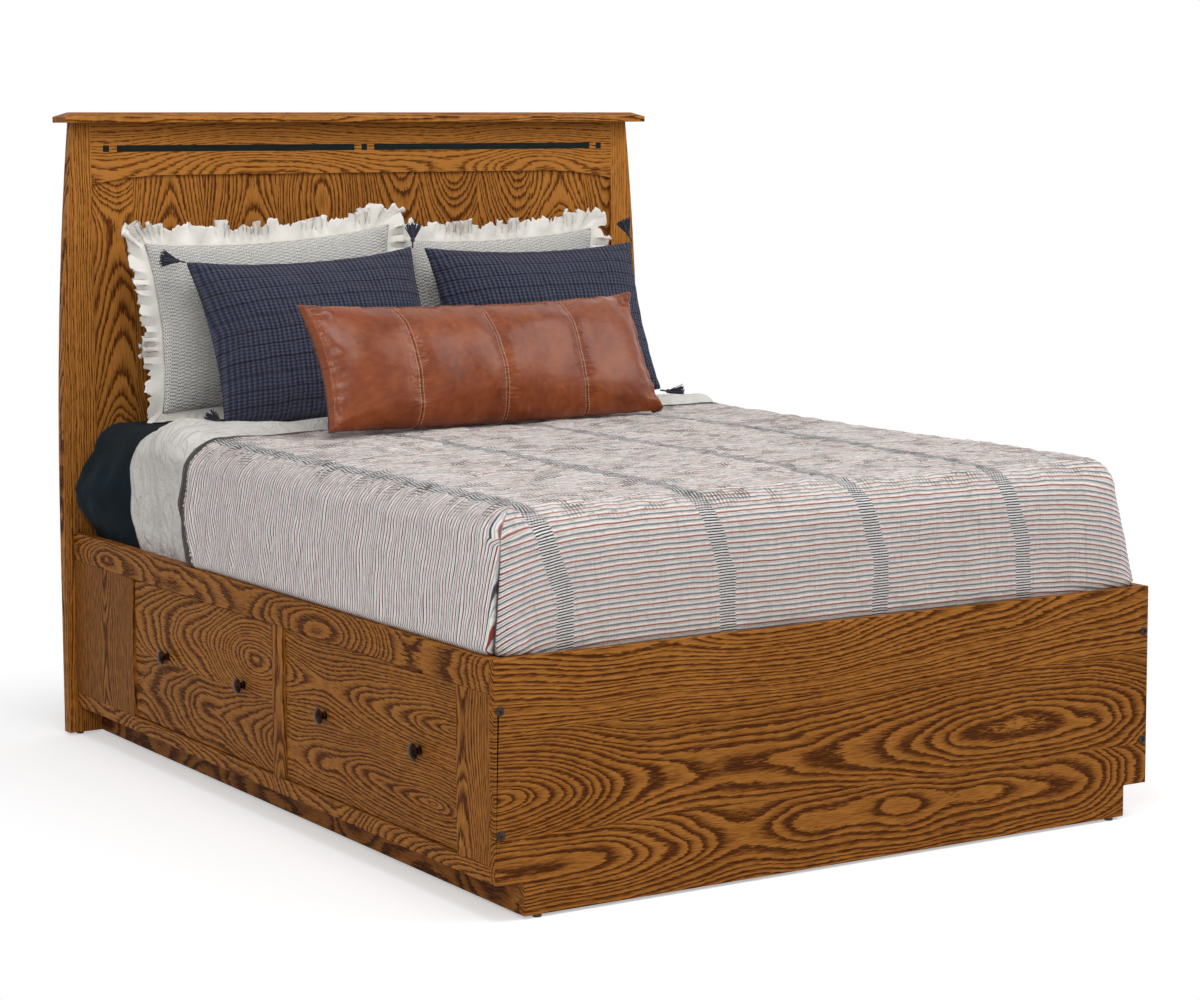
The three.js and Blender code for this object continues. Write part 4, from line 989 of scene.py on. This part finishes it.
# short dark marks on the top only, fewer in the soft patches
stitch_way = node("Mapping", cloth_place, Rotation=(0.0, 0.0, 0.35), Scale=(14.0, 26.0, 1.0))
top_dark_marks = node("TexNoise", stitch_way, Scale=1.0, Detail=3.0, Distortion=0.8)
top_dark_marks = node("ValToRGB", top_dark_marks, stops=[(0.53, 0.0), (0.57, 1.0)])
ticks = repeated(node, node("Math MULTIPLY_ADD", line_at, 0.12, across_bed), tick_mm)
ticks = node("ValToRGB", ticks, stops=[(0.0, 1.0), (0.4, 1.0), (0.5, 0.0), (0.92, 0.0), (1.0, 1.0)])
top_dark_marks = node("Math MULTIPLY", top_dark_marks, ticks)
top_dark_marks = node("Math MULTIPLY", top_dark_marks, node("MapRange", soft_patches, 0.42, 0.6, 1.0, 0.45))
top_dark_marks = node("Math MULTIPLY", top_dark_marks, on_top)
# crinkles: painted shade darkens the cloth down in them
puckers = streaks(node, cloth_place, (55.0, 120.0, 1.0), Detail=3.0, Distortion=0.6)
crinkle_shade = node("MapRange", puckers, 0.36, 0.48, 1.0, 0.0)
crinkle_shade = node("Math MULTIPLY", crinkle_shade, node("MapRange", on_top, To_Min=0.22, To_Max=0.55))
# painted shade: the cloth of the foot drop is darkened, most towards its lower part
foot_shade = node("Math MULTIPLY", below_foot, 0.24)
# the torn head edge shows dark brown threads under the painted shadow of the turned hem,
# and painted shade darkens the inside of the corner fold
torn = node("MapRange", node("Math MULTIPLY_ADD", small_wander, -0.03, from_edge), 0.011, 0.014, 0.97, 0.0)
cover_tints = [
    (top_dark_marks, "463A37"), (crinkle_shade, "887E79"), (foot_shade, "7A6E68"), (torn, "35271F"), (fold_shade, "2E2622"),
]
for amount, code in cover_tints:
    cloth_colour = node("MixRGB", amount, cloth_colour, linear(code))
ridge = node("Math PINGPONG", stripe, 0.25)
puckers = node("Math MULTIPLY", puckers, node("MapRange", on_top, To_Min=0.6, To_Max=2.6))
height = node("Math MULTIPLY_ADD", ridge, 1.4, puckers)
bump = node("Bump", Strength=0.9, Distance=0.004, Height=height)
# long soft creases that run down the drops, and short ones on the top
hanging = streaks(node, place, (30.0, 30.0, 5.0), Detail=3.0, Distortion=0.8)
bump = node("Bump", Strength=0.8, Distance=0.012, Height=hanging, Normal=bump)
feed(shader, Base_Color=cloth_colour, Normal=bump)
declare(coverlet, "coverlet", cover_cloth)

# Pillows: stuffed covers with their seams round the edge. Each is shaped flat on, blown up a little with
# cloth simulation, then leaned, turned and set down in its place.
pillow_sizes = {
    "white": {
        "width": 0.67, "height": 0.425, "front": 0.06, "back": 0.026, "sag": 0.0,
        "grid": (44, 30), "crown": 0.92,
    },
    "navy": {
        "width": 0.64, "height": 0.42, "front": 0.084, "back": 0.05, "sag": 0.02,
        "grid": (48, 34), "crown": 0.95,
    },
    "leather": {
        "width": 0.955, "height": 0.325, "front": 0.084, "back": 0.06, "sag": 0.006,
        "grid": (132, 44), "crown": 0.93,
    },
}
draw_in, seam_half, swell_cap, blown_frames = 0.02, 0.0025, 0.007, 20


def seam_place(size, u, v):
    lift = -draw_in if v > 0 else size["sag"]
    return (
        u * (size["width"] / 2 - draw_in * (1 - v * v)),
        v * (size["height"] / 2 + lift * (1 - u * u)),
    )


def eased(count):
    """Places from -1 to 1 that lie closer together near the ends."""
    return [(sin(s * pi / 2) + s) / 2 for s in (2 * at / count - 1 for at in range(count + 1))]


def stuffed(name, size, dimple, pucker):
    """A closed cover of two crowned faces that meet in a seam, standing in X and Z. Its first UV map is the
    cloth, in metres, and its second the place on a face, from -1 to 1 each way."""
    points, weave, places, faces, index = [], [], [], [], {}
    columns, rows = size["grid"]

    def key_of(i, j, way):
        return (i, j) if i in (0, columns) or j in (0, rows) else (i, j, way)

    for face, way in (("front", -1), ("back", 1)):
        for i, u in enumerate(eased(columns)):
            for j, v in enumerate(eased(rows)):
                key = key_of(i, j, way)
                if key in index:
                    continue
                x, z = seam_place(size, u, v)
                depth = 0.0
                if len(key) == 3:
                    swell = size[face] * size["crown"] * sqrt((1 - u * u) * (1 - v * v))
                    depth = seam_half + swell * dimple(u)
                    depth += pucker(x, z, u, v) * min(1.0, depth / 0.006)
                index[key] = len(points)
                points.append((x, way * depth, z))
                weave.append((x * (1 + 0.1 * (1 - abs(v))), z))
                places.append((u, v))
    for way in (-1, 1):
        for i in range(columns):
            for j in range(rows):
                corners = ((i, j), (i + 1, j), (i + 1, j + 1), (i, j + 1))
                faces.append([index[key_of(a, b, way)] for a, b in corners][:: -way])
    return mesh_piece(name, points, faces, cloth=weave, face=places)


def blow_up(piece, cap):
    """Cloth simulation with air pressure and no weight. No point moves further than cap."""
    pick(piece)
    start = np.array([vertex.co for vertex in piece.data.vertices])
    cloth = piece.modifiers.new("stuffing", "CLOTH")
    for key, value in {
        "quality": 5, "mass": 0.3, "use_pressure": True, "uniform_pressure_force": 4.0,
        "tension_stiffness": 25, "compression_stiffness": 25, "shear_stiffness": 10, "bending_stiffness": 0.4,
    }.items():
        setattr(cloth.settings, key, value)
    cloth.settings.effector_weights.gravity = 0
    cloth.collision_settings.use_collision = False
    for step in range(1, blown_frames + 1):
        bpy.context.scene.frame_set(step)
    bpy.ops.object.modifier_apply(modifier=cloth.name)
    bpy.context.scene.frame_set(1)
    moved = np.array([vertex.co for vertex in piece.data.vertices]) - start
    moved -= moved.mean(axis=0)
    length = np.linalg.norm(moved, axis=1, keepdims=True)
    moved *= np.minimum(1.0, cap / np.maximum(length, 1e-9))
    for vertex, place in zip(piece.data.vertices, start + moved):
        vertex.co = place
    piece.data.update()


def set_down(piece, yaw, lean, roll, shift):
    """Tips, leans and turns a pillow by degrees, then moves it to its place on the bed."""
    tip = Matrix.Rotation(radians(-roll), 4, "Y")
    back = Matrix.Rotation(radians(-lean), 4, "X")
    turn = Matrix.Rotation(radians(yaw), 4, "Z")
    piece.data.transform(Matrix.Translation(shift) @ turn @ back @ tip)
    piece.data.update()


def settle(piece, place, node, finish):
    blow_up(piece, swell_cap)
    applied(piece, "SUBSURF", levels=1, render_levels=1)
    set_down(piece, *place)
    declare(piece, node, finish)


# White pillows: two stuffed covers of coarse cream cotton, woven in a small zigzag. A strip of torn
# cotton is gathered and sewn into the seam as a frill.
# thick cotton yarn: matt cream knots in a zigzag, with grey shade between them
cream, node, shader = finish_of("cream_zigzag_weave", 0.95, 1.5, Sheen_Weight=0.3)
cloth_place = node("UVMap", uv_map="cloth")
u, v, _ = node("SeparateXYZ", cloth_place).outputs
knot_mm = 8.5
row_at = node("Math MULTIPLY_ADD", node("Math PINGPONG", u, knot_mm / 1000 * 2), 0.9, v)
row_wave = node("Math SINE", node("Math MULTIPLY", row_at, 2 * pi * 1000 / knot_mm))
knots = node("Math MULTIPLY", row_wave, node("Math SINE", node("Math MULTIPLY", u, 2 * pi * 1000 / knot_mm)))
knots = node("Math MULTIPLY_ADD", node("TexNoise", cloth_place, Scale=260.0, Detail=2.0), 0.9, knots)
colour = node(
    "ValToRGB", node("MapRange", knots, -0.6, 1.3),
    stops=[(0.0, "746D61"), (0.25, "D2CCC1"), (0.45, "F6F2EB"), (0.95, "FCFAF6")],
)
feed(shader, Base_Color=colour, Normal=node("Bump", Strength=1.0, Distance=0.0034, Height=knots))
# torn cotton: a warm white, with the weave just showing
frill_cloth = plain_cotton("torn_cream_cotton_frill", "F2EEE7", "D3CDC3", 2.2)

frill_width, frill_inset, frill_thickness, frill_rows = 0.044, 0.01, 0.0009, 9
frill_step, corner_run, gather_pitch = 0.0031, 0.07, 0.037
fold_lift, rim_lift, fold_slide = 0.0115, 0.006, 0.0085


def frill_round(name, size, seed, sheet_level):
    """A strip of cotton gathered into the seam. It starts a little inside it, and its folds lean over each
    other and grow towards the torn edge, most at the upper corners. Below, it lies forward on the sheet
    from where it meets sheet_level(x), a height on the pillow's face."""
    half_w, half_h = size["width"] / 2, size["height"] / 2
    corners = [(-1, -1), (1, -1), (1, 1), (-1, 1)]
    rim = []
    for (u0, v0), (u1, v1) in zip(corners, corners[1:] + corners[:1]):
        level = v0 == v1
        length = 2 * (half_w if level else half_h)
        turn_run = corner_run / length
        straight = Vector((0, 0, v0)) if level else Vector((u0, 0, 0))
        before, after = (Vector((u, 0, 0)) if level else Vector((0, 0, v)) for u, v in ((u0, v0), (u1, v1)))
        steps = round(length / frill_step)
        for at in range(steps):
            share = at / steps
            near, part = (before, share / turn_run) if share < 0.5 else (after, (1 - share) / turn_run)
            part = min(1.0, part)
            outward = near * (1 - part) / 2 + straight * (1 + part) / 2
            rim.append((u0 + (u1 - u0) * share, v0 + (v1 - v0) * share, outward.normalized()))
    points, weave, run, last = [], [], 0.0, None
    for u, v, outward in rim:
        x, z = seam_place(size, u, v)
        here = Vector((x, 0, z))
        run += (here - (last or here)).length
        last = here
        sideways = outward.cross(Vector((0, 1, 0)))
        luck = [wobble(run * rate, seed, rate) for rate in (8.0, 15.0, 37.0, 130.0)]
        flap = exp(-((1 - abs(u)) * half_w + (1 - v) * half_h) / 0.045) if v > 0 else 0.0
        fold = run * 2 * pi / gather_pitch + 13 * luck[0]
        strength = (0.85 + 0.9 * luck[1]) * (1 + 0.5 * flap)
        reach = frill_width * (0.88 + 0.5 * luck[1] + 0.4 * luck[2] + 0.34 * luck[3]) * (1 + 0.45 * flap)
        low_corner = exp(-((1 - abs(u)) * half_w + (1 + v) * half_h) / 0.03) if v < 0 else 0.0
        reach = min(reach, frill_width * (1.3 - 0.5 * low_corner))
        for row in range(frill_rows + 1):
            out = -frill_inset + (reach + frill_inset) * row / frill_rows
            grow = max(0.0, out / frill_width)
            turn = fold + 1.3 * grow * (1 + luck[0])
            lift = fold_lift * strength * grow ** 0.8 * sin(turn) + rim_lift * luck[0] * grow
            slide = fold_slide * strength * grow * sin(2 * turn)
            place = here + outward * out + Vector((0, lift, 0)) + sideways * slide
            low = sheet_level(place.x)
            if place.z < low:
                place.y -= 0.8 * (low - place.z)
                place.z = low + 0.12 * (low - place.z) + 0.15 * abs(lift)
            points.append(place)
            weave.append((run * 1.6, out))
    wide = frill_rows + 1
    count = len(rim)
    places = [(at, row) for at in range(count) for row in range(frill_rows)]
    pairs = [(at * wide + row, (at + 1) % count * wide + row) for at, row in places]
    faces = [(here, here + 1, after + 1, after) for here, after in pairs]
    frill = mesh_piece(name, points, faces, cloth=weave)
    applied(frill, "SOLIDIFY", thickness=frill_thickness, offset=-1)
    return frill


def soft_pucker(seed, depth, ease):
    """Small folds that run in from the seam, deepest next to it."""
    def pucker(x, z, u, v):
        near_side = exp(-(1 - abs(u)) / ease) * wobble(0, z * 34, seed)
        near_top = exp(-(1 - abs(v)) / ease) * wobble(x * 30, 0, seed + 4)
        wide = wobble(x * 7, z * 7, seed + 9) * 0.5
        return depth * (near_side + near_top + wide)
    return pucker


white_places = {
    "left": (-2, 6, 3, (-0.30734, foot_y + 1.94856, 1.01385)),
    "right": (0, 6, 0.9, (0.32166, foot_y + 2.00021, 1.00193)),
}
for seed, (word, place) in enumerate(white_places.items()):
    size = pillow_sizes["white"]
    pillow = stuffed(f"{word}_cream_pillow", size, lambda u: 1.0, soft_pucker(seed + 1.5, 0.004, 0.16))
    settle(pillow, place, f"{word}_white_pillow", cream)
    lean_turn, roll_turn, shift = radians(place[1]), radians(place[2]), place[3]
    above = (mattress_high + 0.0035 - shift[2]) / cos(lean_turn)
    frill = frill_round(
        f"{word}_pillow_frill", size, seed * 13 + 2.0,
        lambda x: (above - x * sin(roll_turn)) / cos(roll_turn),
    )
    set_down(frill, *place)
    declare(frill, finish=frill_cloth)

# Navy pillows: two stuffed covers of stone-washed cotton in a fine waffle, quilted in lines across.
# Thread tassels hang from the corners on short cords.
# stone-washed cotton: a dull navy that has faded on the ribs
waffle, node, shader = finish_of("stone_washed_navy_waffle", 0.95, 1.5, Sheen_Weight=0.1, specular=0.2)
cloth_place = node("UVMap", uv_map="cloth")
u, v, _ = node("SeparateXYZ", cloth_place).outputs
rib_mm, row_mm, quilt_mm = 13.0, 8.5, 36.0
drift = node("TexNoise", cloth_place, Scale=14.0, Detail=2.0)
rib_at = node("Math MULTIPLY_ADD", drift, 0.006, u)
row_at = node("Math MULTIPLY_ADD", drift, 0.012, v)
waves = []
for at, pitch in ((rib_at, rib_mm), (row_at, row_mm)):
    turns = node("Math MULTIPLY", at, 2 * pi * 1000 / pitch)
    waves.append(node("Math SINE", turns))
cells = node("Math MULTIPLY_ADD", waves[1], 0.4, waves[0])
quilt = repeated(node, row_at, quilt_mm)
groove = node("ValToRGB", quilt, stops=[(0.0, 0.0), (0.07, 0.9), (0.16, 1.0), (0.9, 1.0), (1.0, 0.0)])
height = node("Math MULTIPLY_ADD", groove, 1.5, cells)
washed = node("TexNoise", cloth_place, Scale=120.0, Detail=4.0)
tone = node("Math MULTIPLY_ADD", washed, 1.6, height)
level_of = node("MapRange", tone, -0.4, 3.6)
washed_navy = [(0.0, "191A25"), (0.4, "2B2D3E"), (0.72, "383A4F"), (1.0, "4C4E66")]
colour = node("ValToRGB", level_of, stops=washed_navy)
bump = node("Bump", Strength=1.0, Distance=0.0028, Height=height)
sags = streaks(node, cloth_place, (16.0, 9.0, 1.0), Detail=2.0, Distortion=0.7)
bump = node("Bump", Strength=0.7, Distance=0.02, Height=sags, Normal=bump)
feed(shader, Base_Color=colour, Normal=bump)

# cotton thread: dull navy, lighter here and there
thread, node, shader = finish_of("navy_cotton_tassel_thread", 0.9, 1.5, Sheen_Weight=0.2)
spotted(node, shader, 420.0, 2.0, [(0.3, "1B1C29"), (0.7, "3A3C50")])

cord, neck, knot, skirt, skirt_radius, thread_radius = 0.0022, 0.012, 0.006, 0.036, 0.019, 0.0013
golden_turn = 2.39996


def tassel(name, seed):
    """A cord, a wound knot and a skirt of threads, hanging along +Z from the origin."""
    outline = [
        (0.0, -0.004), (cord, -0.003), (cord, neck), (knot * 0.75, neck + knot * 0.3), (knot, neck + knot),
        (knot * 0.8, neck + 1.7 * knot), (knot * 0.62, neck + 2 * knot), (0.0, neck + 2 * knot + 0.002),
    ]
    body = turned_piece(name, outline, (0, 0, 0), (1, 0, 0), 14, thread)
    body.data.transform(Matrix.Rotation(-pi / 2, 4, "Y"))
    points, faces = [], []
    start, strands = neck + 2 * knot - 0.003, 90
    for strand in range(strands):
        around = strand * golden_turn
        spread = sqrt((strand + 0.5) / strands)
        luck = wobble(strand * 3.7, seed, 0.5)
        base = len(points)
        for step in range(5):
            share = step / 4
            flare = spread * (knot * 0.55 + (skirt_radius - knot * 0.55) * share ** 0.8)
            down = start + skirt * share * (1 + 0.12 * luck)
            centre = Vector((cos(around) * flare, sin(around) * flare, down))
            centre += Vector((luck, -luck, 0)) * 0.009 * share ** 2
            for side in range(3):
                turn = around + side * 2 * pi / 3
                points.append(centre + Vector((cos(turn), sin(turn), 0)) * thread_radius)
        for step in range(4):
            for side in range(3):
                a, b = base + 3 * step + side, base + 3 * step + (side + 1) % 3
                faces.append((a, b, b + 3, a + 3))
        faces.append((base + 2, base + 1, base))
        faces.append((base + 12, base + 13, base + 14))
    threads = mesh_piece(name + "_threads", points, faces, smooth=False)
    threads.data.materials.append(thread)
    return gather(name, [body, threads])


navy_places = {
    "left": (1.3, 24, 2, (-0.26226, foot_y + 1.80317, 0.983)),
    "right": (1.4, 20, 0, (0.39425, foot_y + 1.8418, 0.98758)),
}
# for each corner: its side and height on the pillow, and the way in which the tassel hangs
tassel_ways = {
    "left": {
        "head_left": (-1, 1, -1, -0.05, 0.22), "head_right": (1, 1, 0.25, -0.1, 1),
        "low_left": (-1, -1, -0.8, -0.6, 0.12), "low_right": (1, -1, 0.5, -0.8, 0.3),
    },
    "right": {"head_right": (1, 1, -0.3, -0.1, 1), "low_right": (1, -1, 1, -0.45, -0.34)},
}
for seed, (word, place) in enumerate(navy_places.items()):
    size = pillow_sizes["navy"]
    pillow = stuffed(f"{word}_waffle_pillow", size, lambda u: 1.0, soft_pucker(seed + 3.5, 0.005, 0.14))
    settle(pillow, place, f"{word}_navy_pillow", waffle)
    for corner, (u, v, *way) in tassel_ways[word].items():
        hung = tassel(f"{word}_pillow_tassel_{corner}", seed * 10 + u + 2 * v)
        x, z = seam_place(size, u, v)
        aim = Vector((0, 0, 1)).rotation_difference(Vector(way).normalized()).to_matrix().to_4x4()
        hung.data.transform(Matrix.Translation((x - u * 0.004, 0, z - v * 0.004)) @ aim)
        set_down(hung, *place)
        declare(hung)

# Lumbar pillow: a long cover of glossy cognac hide in four panels, stuffed firmly. The seams between them
# are topstitched, and the hide creases at the corners.
leather_half_w, leather_half_h = pillow_sizes["leather"]["width"] / 2, pillow_sizes["leather"]["height"] / 2
stitch_mm = 5.5
# waxed hide: glossy, mottled from tan to dark brown, with a fine pebble
leather, node, shader = finish_of("glossy_cognac_leather", 0.27, 1.5, Coat_Weight=0.03, specular=0.3)
cloth_place = node("UVMap", uv_map="cloth")
u, v, _ = node("SeparateXYZ", node("UVMap", uv_map="face")).outputs
pebbles = node("TexVoronoi", cloth_place, feature="DISTANCE_TO_EDGE", Scale=330.0)
clouds = node("TexNoise", cloth_place, Scale=9.0, Detail=5.0, Roughness=0.6)
mottle = node("TexNoise", cloth_place, Scale=70.0, Detail=4.0)
tone = node("Math MULTIPLY_ADD", mottle, 0.35, clouds)
colour = node("ValToRGB", tone, stops=[(0.4, "5C260D"), (0.62, "7A3817"), (0.85, "8E4820")])
# the seams between the four panels: painted shade darkens the groove, with a row of pale stitches on each
# side of it
seam_off = node("Math MULTIPLY", node("Math PINGPONG", u, 0.25), 1000 * leather_half_w)
groove = node("MapRange", seam_off, 0.6, 2.2, 0.8, 0.0)
colour = node("MixRGB", groove, colour, linear("2A1208"))
beside = node("Math COMPARE", seam_off, 4.6, 0.8)
stitch_at = node("Math LESS_THAN", repeated(node, v, stitch_mm / leather_half_h), 0.68)
stitched = node("Math MULTIPLY", beside, stitch_at)
stitched = node("Math MULTIPLY", stitched, node("Math LESS_THAN", node("Math ABSOLUTE", u), 0.75))
colour = node("MixRGB", stitched, colour, linear("B98A6A"))
bump = node("Bump", Strength=0.2, Distance=0.0005, Height=pebbles)
soft_dents = node("TexNoise", cloth_place, Scale=7.0, Detail=2.0)
bump = node("Bump", Strength=0.4, Distance=0.012, Height=soft_dents, Normal=bump)
# creases gather beside the seams and along the ends
by_seam = node("MapRange", seam_off, 0.0, 34.0, 1.0, 0.06)
creases = streaks(node, cloth_place, (17.0, 52.0, 1.0), Detail=2.0, Distortion=1.2)
creases = node("Math MULTIPLY", creases, by_seam)
bump = node("Bump", Strength=0.7, Distance=0.009, Height=creases, Normal=bump)
gloss = node("MapRange", mottle, To_Min=0.18, To_Max=0.32)
feed(shader, Base_Color=colour, Roughness=gloss, Normal=bump)
leather_seams = (-0.5, 0.0, 0.5)
seam_dip, seam_spread = 0.14, 0.045
seam_groove, seam_fold, corner_fold = 0.0028, 0.0035, 0.02
rim_fold, broad_fold, welt_rise = 0.009, 0.007, 0.005


def leather_dimple(u):
    return 1 - seam_dip * sum(bell(u - seam, seam_spread) for seam in leather_seams)


def leather_pucker(x, z, u, v):
    folds = 0.0
    for seam in leather_seams:
        away = (u - seam) * leather_half_w
        folds -= seam_groove * bell(away, 0.004)
        folds += seam_fold * bell(away, 0.028) * wobble(x * 9, z * 38, 5.5)
    corner = exp(-((1 - abs(u)) * leather_half_w) / 0.05) * exp(-((1 - abs(v)) * leather_half_h) / 0.05)
    folds += corner_fold * corner * wobble(x * 34, z * 40, 3.3)
    edge = exp(-((1 - abs(v)) * leather_half_h) / 0.022) * wobble(x * 46, 0.5, 7.1)
    end = exp(-((1 - abs(u)) * leather_half_w) / 0.026) * wobble(0.5, z * 46, 1.1)
    welt = welt_rise * bell((1 - abs(u)) * leather_half_w - 0.011, 0.006)
    return folds + welt + rim_fold * (edge + end) + broad_fold * wobble(x * 8, z * 8, 2.0)


leather_pillow = stuffed("cognac_lumbar_pillow", pillow_sizes["leather"], leather_dimple, leather_pucker)
leather_place = (4.2, 26, -0.4, (-0.03709, foot_y + 1.38713, 0.93427))
settle(leather_pillow, leather_place, "leather_lumbar_pillow", leather)
